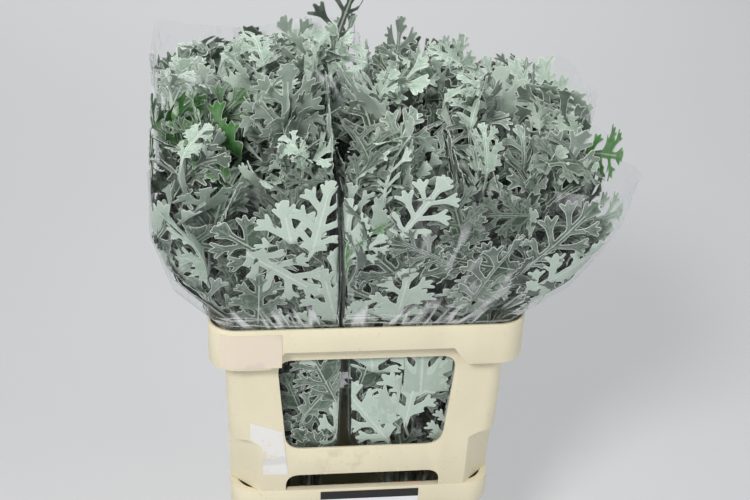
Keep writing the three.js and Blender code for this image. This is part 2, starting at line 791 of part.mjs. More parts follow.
/** The rubber band round a bunch's stems. */
function tieSolid(bunch) {
  const feet = cellsOf(bunch).map((cell) => stemBends(bunch, cell)[0].slice(0, 2));
  const [outer, inner] = [feet.slice(0, bunch.outer), feet.slice(bunch.outer)];
  const [front, back] = bunch.back ? [inner, outer] : [outer, inner];
  const loop = [front[0], front.at(-1), back.at(-1), back[0]];
  const touch = STEM.foot + GAP;
  const heights = [TIE.height - TIE.band, TIE.height];
  const layer = (distance, past) =>
    loft(heights.map((z, i) => ({ z: z + (i ? past : -past), points: outlineRound(loop, distance) })));
  return layer(touch + TIE.thickness, 0).subtract(layer(touch, 1));
}

/** The rim sticker, bent round the skirt's front left corner. */
function rimLabel() {
  const { rim } = RISER;
  const { right, turn, top, height } = LABEL.rim;
  const path = [0, 1, 2, 3].map((k) => -Math.PI / 2 - (turn * k) / 3);
  const ringAt = (offset) => [
    [right, -rim.depth / 2 - offset],
    ...path.map((angle) => [
      rim.radius - rim.width / 2 + (rim.radius + offset) * Math.cos(angle),
      rim.radius - rim.depth / 2 + (rim.radius + offset) * Math.sin(angle),
    ]),
  ];
  const inner = ringAt(GAP);
  const outer = ringAt(GAP + LABEL.thickness);
  const shape = new THREE.Shape([...inner, ...outer.reverse()].map(([x, y]) => new THREE.Vector2(x, y)));
  const plate = new THREE.ExtrudeGeometry(shape, { depth: height, bevelEnabled: false });
  plate.translate(0, 0, RIM_Z - top - height);
  return solidFrom(plate);
}

/** A flat plate on the front wall (or turned to the right wall), with its outline in wall coordinates. */
function wallLabel(outline, { distance, foot, lean, turn }) {
  const shape = new THREE.Shape(outline.map(([x, z]) => new THREE.Vector2(x, z - foot)));
  const plate = new THREE.ExtrudeGeometry(shape, { depth: LABEL.thickness, bevelEnabled: false });
  plate.rotateX(Math.PI / 2 + lean);
  plate.translate(0, -distance - GAP, foot);
  plate.rotateZ(turn);
  return solidFrom(plate);
}

function labels() {
  const { foot, top, recess, height } = RISER;
  const lean = Math.atan2((top.depth - foot.depth) / 2, height - recess);
  const onRiser = { distance: foot.depth / 2, foot: BUCKET.height + GAP, lean, turn: 0 };
  const underRim = (outline) => outline.map(([x, down]) => [x, RIM_Z + down]);
  const { card } = LABEL;
  const cardTop = card.foot + card.height;
  const cardOutline = [
    [card.left, card.foot],
    [card.right, card.foot],
    [card.right, cardTop],
    [card.left, cardTop],
  ];
  const onBucket = { distance: BUCKET.rim.depth / 2, foot: card.foot, lean: 0, turn: 0 };
  return {
    label_rim: rimLabel(),
    label_post: wallLabel(underRim(LABEL.post), onRiser),
    label_side: wallLabel(underRim(LABEL.side), { ...onRiser, distance: foot.width / 2, turn: Math.PI / 2 }),
    card_bucket: wallLabel(cardOutline, onBucket),
  };
}

// ---- Assembly -----------------------------------------------------------------------------------

const bucketful = new THREE.Group();
bucketful.name = "bucket_of_dusty_miller";

const container = new THREE.Group();
const stemFeet = BUNCHES.flatMap((bunch) => cellsOf(bunch).map((cell) => stemBends(bunch, cell)[0]));
const clearWater = { transparent: true, opacity: 0.5 };
container.add(
  namedMesh("bucket", bucketSolid(), COLOURS.plastic, 0.45),
  namedMesh("riser", riserSolid(), COLOURS.plastic, 0.45),
  namedMesh("water", waterSolid(stemFeet), COLOURS.water, 0.05, clearWater),
);
for (const [name, solid] of Object.entries(labels())) {
  const colour = name === "label_rim" ? COLOURS.pinkLabel : COLOURS.paper;
  container.add(namedMesh(name, solid, colour, 0.7));
}
bucketful.add(container);

BUNCHES.forEach((bunch) => {
  const group = new THREE.Group();
  const clearFilm = { transparent: true, opacity: 0.25, side: THREE.DoubleSide };
  group.add(
    namedMesh(`sleeve_${bunch.name}`, sleeveSolid(bunch), COLOURS.film, 0.15, clearFilm),
    namedMesh(`tie_${bunch.name}`, tieSolid(bunch), COLOURS.tie, 0.6),
  );
  const room = roomInside(bunch);
  cellsOf(bunch).forEach((cell, c) => {
    const plant = leafyStem(bunch, cell, room, bunch.seed + c);
    group.add(namedMesh(`stem_${bunch.name}_${c + 1}`, plant, COLOURS.leaf, 0.9));
  });
  bucketful.add(group);
});

export default bucketful;
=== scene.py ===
"""Sleeved bunches of dusty miller in a stacking bucket with a windowed riser."""

import math

import bmesh
import bpy
import numpy as np
from bpy.props import FloatProperty, FloatVectorProperty, PointerProperty
from mathutils import Matrix, Vector
from mathutils.geometry import delaunay_2d_cdt


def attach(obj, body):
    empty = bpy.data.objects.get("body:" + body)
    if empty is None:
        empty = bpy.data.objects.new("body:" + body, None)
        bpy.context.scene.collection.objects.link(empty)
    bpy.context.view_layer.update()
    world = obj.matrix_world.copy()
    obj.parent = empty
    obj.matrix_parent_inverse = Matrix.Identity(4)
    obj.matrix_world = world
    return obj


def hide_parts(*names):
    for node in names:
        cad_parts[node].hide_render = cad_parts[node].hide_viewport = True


bl_info = {
    "name": "Dusty miller bucket",
    "version": (1, 0, 0),
    "blender": (4, 5, 0),
    "location": "View3D > Sidebar > Dusty miller",
    "description": "Makes sleeved bunches of dusty miller in a stacking bucket with its riser",
    "category": "Add Mesh",
}

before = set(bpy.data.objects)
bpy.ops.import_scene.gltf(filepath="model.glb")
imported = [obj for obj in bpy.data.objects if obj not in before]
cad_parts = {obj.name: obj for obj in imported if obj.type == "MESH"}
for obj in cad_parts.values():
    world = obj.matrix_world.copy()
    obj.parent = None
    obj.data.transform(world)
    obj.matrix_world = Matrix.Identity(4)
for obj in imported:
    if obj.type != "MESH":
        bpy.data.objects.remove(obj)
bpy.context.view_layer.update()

MM = 0.001
BODY = "root"

# ---- Sizes: millimetres above the bucket's underside, angles in radians --------------------------

GAP = 0.3
WALL = 3.0
BUCKET = {
    "height": 250.0,
    "foot": (290.0, 190.0, 28.0),
    "top": (330.0, 230.0, 30.0),
    "rim": (343.0, 243.0, 34.0),
    "band": 34.0,
    "band_middle": 17.0,
    "levels": (60, 120, 180),
}
RISER = {
    "height": 257.4,
    "foot": (341.0, 241.0, 22.0),
    "chamfer": 37.0,
    "top": (353.0, 253.0, 24.0),
    "facet": 75.0,
    "facet_slope": 9.0,
    "middle": 150.0,
    "rim": (390.0, 290.0, 35.0),
    "lip": 12.0,
    "recess": 22.0,
    "skirt_corner": 55.3,
    "skirt_middle": 31.8,
    "step": 18.2,
}
RIM_Z = BUCKET["height"] + GAP + RISER["height"]
WINDOWS = [
    {"along": "x", "top": 224.6, "bottom": 200.2, "high": 54.9, "low": 191.1, "radius": 21},
    {"along": "y", "top": 132, "bottom": 116, "high": 60, "low": 185, "radius": 20},
]
NOTCHES = [
    {"along": "x", "width": 201, "height": 24, "radius": 18},
    {"along": "y", "width": 116, "height": 20, "radius": 15},
]
SKIRT_HALF = {"x": 103.3, "y": 58.0}
CUTTER = {"reach": 300, "below": 30, "steps": 8}
ROUNDED_ABOVE, SHARP_ABOVE = math.radians(32), math.radians(38)  # angles of moulded edges
CORNER_STEPS = 8
SIDE_STEPS = (12, 16)

TIE_Z = 215.0
TIED = (34.0, 30.0, 22.0)
STEM = {
    "foot": 3.0, "top": 1.5, "bends": (320, 435, 590), "crown": 735, "below": 130,
    "lowest": 268, "lowest_inner": 400, "last_bend": 20, "steps": 7, "sides": 8,
    "data": (0.0, 0.5, 1.0, 0.4),
}
LEAF = {
    "stations": 14, "length": (108, 138), "half_width": (37, 49), "petiole": (12, 30),
    "tilt": (0.95, 0.8), "tilt_spread": 0.7, "top_tilt": 0.35, "droop": (-0.33, 0.77),
    "turn": 2.399963, "turn_spread": 0.7, "roll": 0.45, "cup": 0.16, "clear": 2.2,
    "below_tip": 6, "rise_spread": 0.35, "rise_power": 0.75, "fan": 0.8, "growth": 0.06,
    "ruffle": 3.2, "ridge": 0.5, "ridge_width": 1.2, "flipped": 0.25,
}
CELL = {"gap": 1.2, "reach": 12, "film_reach": 34, "sway": 0.03, "lengths": (47, 39)}
FLARE = {"lag": 18, "from": (465, 495), "to": (580, 650)}
SLEEVE = {
    "film": 0.7, "skin": 0.25, "steps": 3, "corner_steps": 8, "side_steps": 14,
    "rings": ((150, 320, 10), (320, 486, 14), (486, 509, 4)), "mouth_rings": 26,
    "knots": 16, "wave": 9.9, "turn": 1.9, "wavy": 60, "puckered": (520, 30),
    "gathered": (40, 60), "fold_depth": (0.6, 2.6), "tuck_depth": 1.2,
    "folds": (7, (3, 12), (0.006, 0.02), 0.4), "tucks": (6, (14, 34), (0.01, 0.03), 0.3),
}
SEED = 20408
SEED_STEPS = {"leaves": 500, "blades": 1000, "film": 77}  # the first two for each bunch
SEAM_RADIUS = 4.5
OUTER_ROW = 0.55
LEAVES = {True: 9, False: 6}  # on a stem in the outer row, and on one behind it
STALK = (0.35, 0.3)  # how far a stalk keeps its first and last direction
PATH = 9  # points along a stalk, and along a blade, before they are evened out
ON_FILM = {
    "lowest": 285, "row": 44, "spacing": 58, "neck": (452, 492), "below_crown": (35, 55),
    "inset": 1.5, "past_mouth": 25, "shift": 0.3, "shake": 14, "facing_seam": 0.9,
    "seam_row": 38, "seam_neck": (455, 495), "by_seam": (12, 24), "seam_share": 0.35,
    "seam_past": 10, "seam_shake": 8,
    "length": (72, 122), "width": (0.32, 0.42), "room": (0.9, 6), "lean": 0.75, "astray": 0.1,
    "stalk": (15, 85), "lowest_stalk": 245, "cup": 0.1, "flat": (0.8, 1), "above": 8.0,
}
# Layers of leaves on the film, from the outermost to the deepest; the low tones of the deeper
# layers are painted shade.
LAYERS = [
    {"depth": (0.4, 3.0), "upper_out": 0.28, "green": (0.02, 0.35), "silver": (0.55, 0.92),
     "fine": True},
    {"depth": (5.0, 9.0), "upper_out": 0.65, "green": (0.0, 0.15), "silver": (0.12, 0.5),
     "fine": True},
    {"depth": (12.0, 22.0), "upper_out": 1.0, "green": (0.0, 0.05), "silver": (0.0, 0.05),
     "fine": False},
]
ON_CROWN = {
    "length": (72, 125), "width": (0.3, 0.42), "rise": (0.1, 1.35), "arch": (0.0, 2.0),
    "swerve": 0.45, "roll": 0.5, "twist": 0.6, "cup": (-0.1, 0.6), "ruffle": (2.0, 5.0),
    "curl": 0.35, "stalk": (10, 60), "lowest_stalk": 300, "overlap": 22, "radius": 26,
    "lift": 22, "lift_from": (90, 190), "dip": 24, "dip_width": 45, "dip_from": (80, 130),
    "past": 2, "most_cut": 52, "inset": (14, 8), "shake": 0.4, "lower": (0, 30),
    "free": (-5, 45), "rounding": (-20, 40),
}
YOUNG = {"count": 3, "spread": 16, "drop": (0, 45), "size": (0.5, 0.75), "tone": (0.6, 0.9)}
# The darkest tones of the large leaves are painted shade, since these leaves stand inside the
# bunch.
TONES = {True: (0.02, 0.4), False: (0.35, 0.85)}  # large leaves with the upper side out, and in
BARE = [  # places of bright green leaves, and how far from them
    ((-228, -70, 735), 44), ((-208, -20, 765), 34), ((285, -40, 735), 46),
]
BARE_TONE = 1.0
# Tiers of crown leaves, from the top down; the low tones of the lower tiers are painted shade.
TIERS = [
    {"spacing": 1.0, "drop": 8, "size": 1.0, "tone": (0.03, 0.92), "fine": True},
    {"spacing": 1.15, "drop": 40, "size": 1.1, "tone": (0.0, 0.28), "fine": True},
    {"spacing": 1.5, "drop": 80, "size": 1.25, "tone": (0.0, 0.08), "fine": False},
]
CROWN = {
    "height": 318, "middle": -10, "half_width": 300, "half_depth": 195,
    "side": 85, "front": 96, "back": 30,
}

KEYS = ("z", "left", "right", "front", "back", "front_x", "back_x", "gap_x", "gap_y", "radius")
LEVELS = np.array([
    (320, -163, 163, -114, 114, -25, 6, 6, 5, 40),
    (435, -168.5, 168.5, -118.5, 118.5, -26, 6, 3, 3, 36),
    (486, -173.2, 173.2, -123.2, 123.2, -31, 6, 2, 2, 36),
    (509, -191.2, 191.2, -141.2, 141.2, -36, 6, 1, 1, 35),
    (565, -236, 247, -166, 165, -38, 7, 1, 1, 38),
    (640, -257, 287, -188, 186, -42, 8, 1, 1, 40),
    (735, -257, 311, -197, 196, -48, 10, 1, 1, 42),
    (800, -262, 322, -204, 204, -50, 10, 1, 1, 42),
    (900, -262, 326, -204, 204, -50, 10, 1, 1, 42),
], float)
BUNCH_KEYS = ("name", "x", "y", "right", "back", "mouth", "outer", "inner", "seed")
BUNCHES = [dict(zip(BUNCH_KEYS, row)) for row in (
    ("front_left", -84, -50, False, False, 712, 2, 2, 20409),
    ("front_right", 68, -50, True, False, 706, 3, 3, 20508),
    ("back_left", -72, 50, False, True, 780, 2, 3, 20608),
    ("back_right", 80, 50, True, True, 728, 3, 2, 20708),
)]

WHITE = (1.0, 1.0, 1.0)
LAMPS = [  # name, place, target, width and height or the width of a disk in metres, power, colour
    ("backdrop_light", (0, 3.0, 3.2), (0, 7, 0), (6.0, 1.5), 150, WHITE),
    ("strip_left", (-1.5, -2.5, 0.75), (0, 0, 0.6), (0.09, 0.9), 4, WHITE),
    ("strip_right", (1.2, -2.8, 0.9), (0, 0, 0.6), (0.09, 0.9), 3.5, WHITE),
    ("key_light", (-1.3, -2.3, 2.6), (0, 0, 0.5), (0.8,), 71, (1.0, 0.99, 0.97)),
    ("fill_light", (2.4, -1.8, 1.6), (0, 0, 0.5), (1.6,), 16, (0.97, 0.98, 1.0)),
    ("top_light", (0.2, 0.9, 3.0), (0, 0, 0.5), (1.1,), 50, WHITE),
    ("left_light", (-3.2, 0.6, 1.6), (0, 0, 0.5), (1.8,), 13, WHITE),
    ("right_light", (3.2, 1.2, 1.4), (0, 0, 0.5), (1.8,), 10, WHITE),
]
SKY = {"colour": (0.93, 0.96, 1.0, 1), "strength": 0.21}
FLOOR = {"half_width": 9000, "front": -6000, "back": 7000, "bend": 2000, "wall": (3500, 7000)}
CAMERA = {
    "lens": 59.52,
    "sensor": 36,
    "far": 50,
    "place": (-0.168598, -1.410963, 0.7671 + RIM_Z * MM),
    "turn": ((0.9928666, 0.02013789, -0.11751754), (-0.11352755, 0.46085516, -0.88018408),
             (0.03643352, 0.88724686, 0.4598539)),
}

# ---- The space of each bunch and stem ------------------------------------------------------------


def smooth(x, low, high):
    """0 below low and 1 above high, with an even slope between."""
    t = np.clip((x - low) / (high - low), 0, 1)
    return t * t * (3 - 2 * t)


def mix(a, b, share):
    return a + (b - a) * share


def bunch_section(bunch, z):
    """The four faces and corner radius of one bunch's sleeve at heights z."""
    z = np.asarray(z, float)
    e = {key: np.interp(z, LEVELS[:, 0], LEVELS[:, i]) for i, key in enumerate(KEYS)}
    seam = e["back_x"] if bunch["back"] else e["front_x"]
    opened = {
        "left": seam + e["gap_x"] if bunch["right"] else e["left"],
        "right": e["right"] if bunch["right"] else seam - e["gap_x"],
        "front": e["gap_y"] if bunch["back"] else e["front"],
        "back": e["back"] if bunch["back"] else -e["gap_y"],
        "radius": e["radius"],
        "seam_radius": SEAM_RADIUS,
    }
    tied = {
        "left": bunch["x"] - TIED[0],
        "right": bunch["x"] + TIED[0],
        "front": bunch["y"] - TIED[1],
        "back": bunch["y"] + TIED[1],
        "radius": TIED[2],
        "seam_radius": TIED[2],
    }
    share = np.clip((z - TIE_Z) / (LEVELS[0, 0] - TIE_Z), 0, 1)
    return {key: mix(tied[key], opened[key], share) for key in opened}


def cells_of(bunch):
    """The shares of a bunch's width and depth that its stems have for themselves."""
    def row(count, outer):
        return [{"from": i / count, "to": (i + 1) / count, "outer": outer} for i in range(count)]

    return row(bunch["outer"], True) + row(bunch["inner"], False)


def cell_section(bunch, cell, z, margin, clear=LEAF["clear"], lag=FLARE["lag"]):
    """The four faces of one stem's cell at heights z, a margin in from film and neighbours."""
    flare = smooth(z, *FLARE["from"]) * (1 - smooth(z, *FLARE["to"]))
    section = bunch_section(bunch, z - lag * flare)
    film = SLEEVE["film"] + clear + margin
    wall = CELL["gap"] + margin * (CELL["reach"] / CELL["film_reach"])
    across = CELL["sway"] * np.sin(z / CELL["lengths"][0] + bunch["x"])
    along = CELL["sway"] * np.sin(z / CELL["lengths"][1] + bunch["y"])

    def is_film(share):
        return share in (0, 1)

    def clear_of(share):
        return film if is_film(share) else wall

    def place_x(share):
        return mix(section["left"], section["right"], share if is_film(share) else share + across)

    def place_y(share):
        return mix(section["front"], section["back"], share if is_film(share) else share + along)

    if cell.get("whole"):
        front, back = 0, 1
        section = spilled(section, bunch, z)
    else:
        divide = 1 - OUTER_ROW if bunch["back"] else OUTER_ROW
        front, back = (divide, 1) if cell["outer"] == bunch["back"] else (0, divide)
    return {
        "left": place_x(cell["from"]) + clear_of(cell["from"]),
        "right": place_x(cell["to"]) - clear_of(cell["to"]),
        "front": place_y(front) + clear_of(front),
        "back": place_y(back) - clear_of(back),
        "section": section,
        "film": film,
    }


def spilled(section, bunch, z):
    """The section with its inner faces let out where the leaves stand free above the films."""
    def free(same):
        mouth = max(b["mouth"] for b in BUNCHES if b[same] == bunch[same])
        low, high = ON_CROWN["free"]
        return smooth(z, mouth + low, mouth + high) * ON_CROWN["overlap"]

    out_x, out_y = free("back"), free("right")
    low, high = ON_CROWN["rounding"]
    share = smooth(z, bunch["mouth"] + low, bunch["mouth"] + high)
    return {
        "left": section["left"] - (out_x if bunch["right"] else 0),
        "right": section["right"] + (0 if bunch["right"] else out_x),
        "front": section["front"] - (out_y if bunch["back"] else 0),
        "back": section["back"] + (0 if bunch["back"] else out_y),
        "radius": mix(section["radius"], ON_CROWN["radius"], share),
        "seam_radius": section["seam_radius"],
    }


def hold(points, bunch, cell, margin, clear=LEAF["clear"], lag=FLARE["lag"]):
    """The nearest points to the given ones inside a cell, a margin in from its walls."""
    p = np.array(points, float)
    c = cell_section(bunch, cell, p[..., 2], margin, clear, lag)
    x = np.clip(p[..., 0], np.minimum(c["left"], c["right"]), np.maximum(c["left"], c["right"]))
    y = np.clip(p[..., 1], np.minimum(c["front"], c["back"]), np.maximum(c["front"], c["back"]))
    s, film = c["section"], c["film"]
    by_seam = (x > (s["left"] + s["right"]) / 2) != bunch["right"]
    radius = np.maximum(np.where(by_seam, s["seam_radius"], s["radius"]) - film, 2)
    chord = radius * math.cos(math.pi / 4 / SLEEVE["steps"])
    corner_x = np.minimum(np.maximum(x, s["left"] + film + radius), s["right"] - film - radius)
    corner_y = np.minimum(np.maximum(y, s["front"] + film + radius), s["back"] - film - radius)
    distance = np.hypot(x - corner_x, y - corner_y)
    out = (x != corner_x) & (y != corner_y) & (distance > chord)
    scale = np.where(out, chord / np.maximum(distance, 1e-9), 1)
    p[..., 0] = np.where(out, corner_x + (x - corner_x) * scale, x)
    p[..., 1] = np.where(out, corner_y + (y - corner_y) * scale, y)
    return p


# ---- Leaves: where they grow ---------------------------------------------------------------------

MASK = 0xFFFFFFFF


def random_from(seed):
    """Repeatable random numbers, the same as in the source of the solids."""
    state = seed & MASK

    def draw():
        nonlocal state
        state = (state + 0x6D2B79F5) & MASK
        t = state
        t = ((t ^ (t >> 15)) * (t | 1)) & MASK
        t ^= (t + (((t ^ (t >> 7)) * (t | 61)) & MASK)) & MASK
        return ((t ^ (t >> 14)) & MASK) / 4294967296

    return draw


def crown_height(x, y):
    """The height of the foliage's domed top over one place."""
    across = (x - CROWN["middle"]) / CROWN["half_width"]
    depth = y / CROWN["half_depth"]
    drop = CROWN["front"] if y < 0 else CROWN["back"]
    return RIM_Z + CROWN["height"] - CROWN["side"] * across**2 - drop * depth**2


def stem_bends(bunch, cell):
    """The bends of a stem from the bucket's floor to below the crown."""
    def middle(z):
        c = cell_section(bunch, cell, float(z), 0)
        return (float(c["left"] + c["right"]) / 2, float(c["front"] + c["back"]) / 2)

    top = crown_height(*middle(STEM["crown"])) - STEM["below"]
    heights = [TIE_Z] + [z for z in STEM["bends"] if z < top - STEM["last_bend"]] + [top]
    return np.array([(*middle(TIE_Z), WALL + GAP)] + [(*middle(z), z) for z in heights])


def stem_point(bends, z):
    """The place of a stem at one height."""
    return np.array([np.interp(z, bends[:, 2], bends[:, i]) for i in range(3)])


def main_leaves(bunch, cell, bends, seed):
    """The large leaves of a stem, drawn from its own random sequence."""
    draw = random_from(seed)
    top = bends[-1, 2] - LEAF["below_tip"]
    lowest = STEM["lowest"] if cell["outer"] else STEM["lowest_inner"]
    outward = (1 if bunch["back"] else -1) * math.pi / 2
    start = draw() * 2 * math.pi
    count = LEAVES[cell["outer"]]
    leaves = []
    for i in range(count):
        d = [draw() for _ in range(8)]
        rise = (i + LEAF["rise_spread"] * (d[0] - 0.5)) / (count - 1)
        height = min(top, mix(lowest, top, max(0, rise) ** LEAF["rise_power"]))
        turn = start + i * LEAF["turn"] + LEAF["turn_spread"] * (d[1] - 0.5)
        away = math.atan2(math.sin(turn - outward), math.cos(turn - outward))
        upper = i / (count - 1)
        tilt = mix(*LEAF["tilt"], upper) + LEAF["tilt_spread"] * (d[2] - 0.5)
        leaves.append({
            "root": stem_point(bends, height),
            "azimuth": outward + LEAF["fan"] * away if cell["outer"] else turn,
            "tilt": LEAF["top_tilt"] * d[2] if i == count - 1 else tilt,
            "droop": mix(*LEAF["droop"], d[3]) * (0.3 + upper),
            "petiole": mix(*LEAF["petiole"], d[4]),
            "length": mix(*LEAF["length"], d[5]) * (1 + LEAF["growth"] * upper),
            "half_width": mix(*LEAF["half_width"], d[6]),
            "roll": LEAF["roll"] * (d[7] - 0.5) * 2,
            "depth": 0.0,
        })
    return leaves


def unit(a):
    return a / np.maximum(np.linalg.norm(a, axis=-1, keepdims=True), 1e-9)


def midribs(leaves, bunch, cell, clear, lag):
    """Points, side vectors, upper sides and flatness at stations along the midribs of leaves."""
    keys = ("azimuth", "tilt", "droop", "roll", "petiole", "length")
    azimuth, tilt, droop, roll, petiole, length = (
        np.array([leaf[key] for leaf in leaves], float) for key in keys)
    step = (petiole + length) / LEAF["stations"]
    flat = np.stack([np.cos(azimuth), np.sin(azimuth)], 1)
    point = np.array([leaf["root"] for leaf in leaves], float)
    direction = np.column_stack([flat * np.sin(tilt)[:, None], np.cos(tilt)])
    level = np.column_stack([-flat[:, 1], flat[:, 0], np.zeros(len(leaves))])
    pull = np.column_stack([flat, np.full(len(leaves), -0.6)])
    points, sides, uppers, flatness = [], [], [], []
    for _ in range(LEAF["stations"] + 1):
        crowd = point - hold(point, bunch, cell, CELL["film_reach"], clear, lag)
        close = np.minimum(1, np.linalg.norm(crowd, axis=1) / CELL["film_reach"])[:, None]
        face = np.cross(direction, level)
        side = level * np.cos(roll)[:, None] + face * np.sin(roll)[:, None]
        along = np.cross(direction, unit(crowd))
        side = np.where(close > 0, side * (1 - close) + along * close, side)
        side = unit(side - direction * np.sum(side * direction, axis=1, keepdims=True))
        points.append(point)
        sides.append(side)
        uppers.append(np.cross(direction, side))
        flatness.append(close[:, 0])
        bent = unit(direction + pull * (droop / LEAF["stations"])[:, None])
        after = hold(point + bent * step[:, None], bunch, cell, 0.6, clear, lag)
        direction = unit(after - point)
        point = after
    return np.array(points), np.array(sides), np.array(uppers), np.array(flatness)


def stalk_between(root, start, base, direction):
    """Points of a curved stalk that leaves its stem one way and arrives along the leaf."""
    gap = np.linalg.norm(base - root)
    b, c = root + start * gap * STALK[0], base - direction * gap * STALK[1]
    t = np.linspace(0, 1, PATH)[:, None]
    return (1 - t) ** 3 * root + 3 * (1 - t) ** 2 * t * b + 3 * (1 - t) * t**2 * c + t**3 * base


def stretched(stalk, blade, bunch, cell, margin, clear, lag):
    """Even stations along a stalk and the midrib that follows it, with the length of each."""
    path = hold(np.vstack([stalk, blade[1:]]), bunch, cell, margin, clear, lag)
    lengths = np.concatenate([[0], np.cumsum(np.linalg.norm(np.diff(path, axis=0), axis=1))])
    at = np.linspace(0, lengths[-1], LEAF["stations"] + 1)
    points = np.column_stack([np.interp(at, lengths, path[:, k]) for k in range(3)])
    petiole = lengths[len(stalk) - 1]
    return points, unit(np.gradient(points, axis=0)), petiole, lengths[-1] - petiole


def leaf_on(points, directions, side, flatness, sizes):
    """A leaf with the given stations: its side vectors are squared to its midrib."""
    side = unit(side - directions * np.sum(side * directions, axis=1, keepdims=True))
    flat = np.full(len(points), flatness)
    return {**sizes, "stations": (points, side, np.cross(directions, side), flat)}


def film_leaf(bunch, cell, bends, site, outward, up, depth, upper_out, rng):
    """A leaf pressed flat on the film at a site, on a long stalk from its stem."""
    length = rng.uniform(*ON_FILM["length"])
    if rng.random() > ON_FILM["astray"]:
        angle = rng.normal(0, ON_FILM["lean"])
    else:
        angle = rng.uniform(-math.pi, math.pi)
    direction = up * math.cos(angle) + np.cross(up, outward) * math.sin(angle)
    base = site - direction * length * 0.5
    lowest = max(base[2] - rng.uniform(*ON_FILM["stalk"]), ON_FILM["lowest_stalk"])
    root = stem_point(bends, min(lowest, bends[-1, 2] - 3))
    gap = np.linalg.norm(base - root)
    start = unit((base - root) * np.array([1, 1, 0]) * 0.6 + np.array([0, 0, 0.8]) * gap)
    stalk = stalk_between(root, start, base, direction)
    blade = base + direction * np.linspace(0, length, PATH)[:, None]
    points, directions, petiole, length = stretched(
        stalk, blade, bunch, cell, 0.3 + depth, *ON_FILM["room"])
    turned = -1 if rng.random() < upper_out else 1
    side = np.cross(directions, np.tile(outward * turned, (len(points), 1)))
    sizes = {
        "petiole": petiole, "length": length,
        "half_width": length * rng.uniform(*ON_FILM["width"]),
        "depth": depth, "cup": ON_FILM["cup"], "upper_out": turned < 0,
    }
    return leaf_on(points, directions, side, rng.uniform(*ON_FILM["flat"]), sizes)


def crown_leaf(bunch, cell, bends, x, y, drop, size, rng):
    """An upright or arching leaf whose tip ends a drop below the crown."""
    along = np.linspace(0, 1, PATH)
    length = rng.uniform(*ON_CROWN["length"]) * size
    top = bends[-1, 2]
    foot = stem_point(bends, top)
    azimuth = math.atan2(y - foot[1], x - foot[0]) + rng.normal(0, ON_CROWN["swerve"])
    arch = rng.uniform(*ON_CROWN["arch"])
    rise = rng.uniform(*ON_CROWN["rise"]) + arch * (0.5 - along)
    half_width = length * rng.uniform(*ON_CROWN["width"])
    roll = rng.normal(0, ON_CROWN["roll"])
    roll = roll + rng.normal(0, ON_CROWN["twist"]) * np.linspace(-0.3, 1, PATH)
    raised = 0.8 * half_width * np.max(np.abs(np.sin(roll)) * np.cos(rise))
    steps = np.column_stack([
        math.cos(azimuth) * np.cos(rise), math.sin(azimuth) * np.cos(rise), np.sin(rise)])
    blade = np.vstack([np.zeros(3), np.cumsum(steps[:-1], axis=0)]) * (length / (PATH - 1))
    lift = ON_CROWN["lift"] * smooth(-x, *ON_CROWN["lift_from"])
    dip = ON_CROWN["dip"] * math.exp(-((x / ON_CROWN["dip_width"]) ** 2))
    dip *= smooth(y, *ON_CROWN["dip_from"])
    height = crown_height(x, y) + lift - drop - raised - dip
    blade += np.array([x, y, height]) - np.array([*blade[-1, :2], blade[:, 2].max()])
    base = blade[0]
    lowest = max(base[2] - rng.uniform(*ON_CROWN["stalk"]), ON_CROWN["lowest_stalk"])
    root = stem_point(bends, min(lowest, top - 1))
    stalk = stalk_between(root, np.array([0, 0, 1]), base, steps[0])
    points, directions, petiole, length = stretched(
        stalk, blade, bunch, cell, 0.5, *ON_FILM["room"])
    level = np.array([-math.sin(azimuth), math.cos(azimuth), 0])
    roll = np.interp(np.linspace(0, 1, len(points)), along, roll)[:, None]
    side = level * np.cos(roll) + np.cross(directions, level) * np.sin(roll)
    sizes = {
        "petiole": petiole, "length": length, "half_width": half_width, "depth": 0.0,
        "cup": rng.uniform(*ON_CROWN["cup"]), "ruffle": rng.uniform(*ON_CROWN["ruffle"]),
        "curl": rng.normal(0, ON_CROWN["curl"]),
    }
    return leaf_on(points, directions, side, 0.0, sizes)


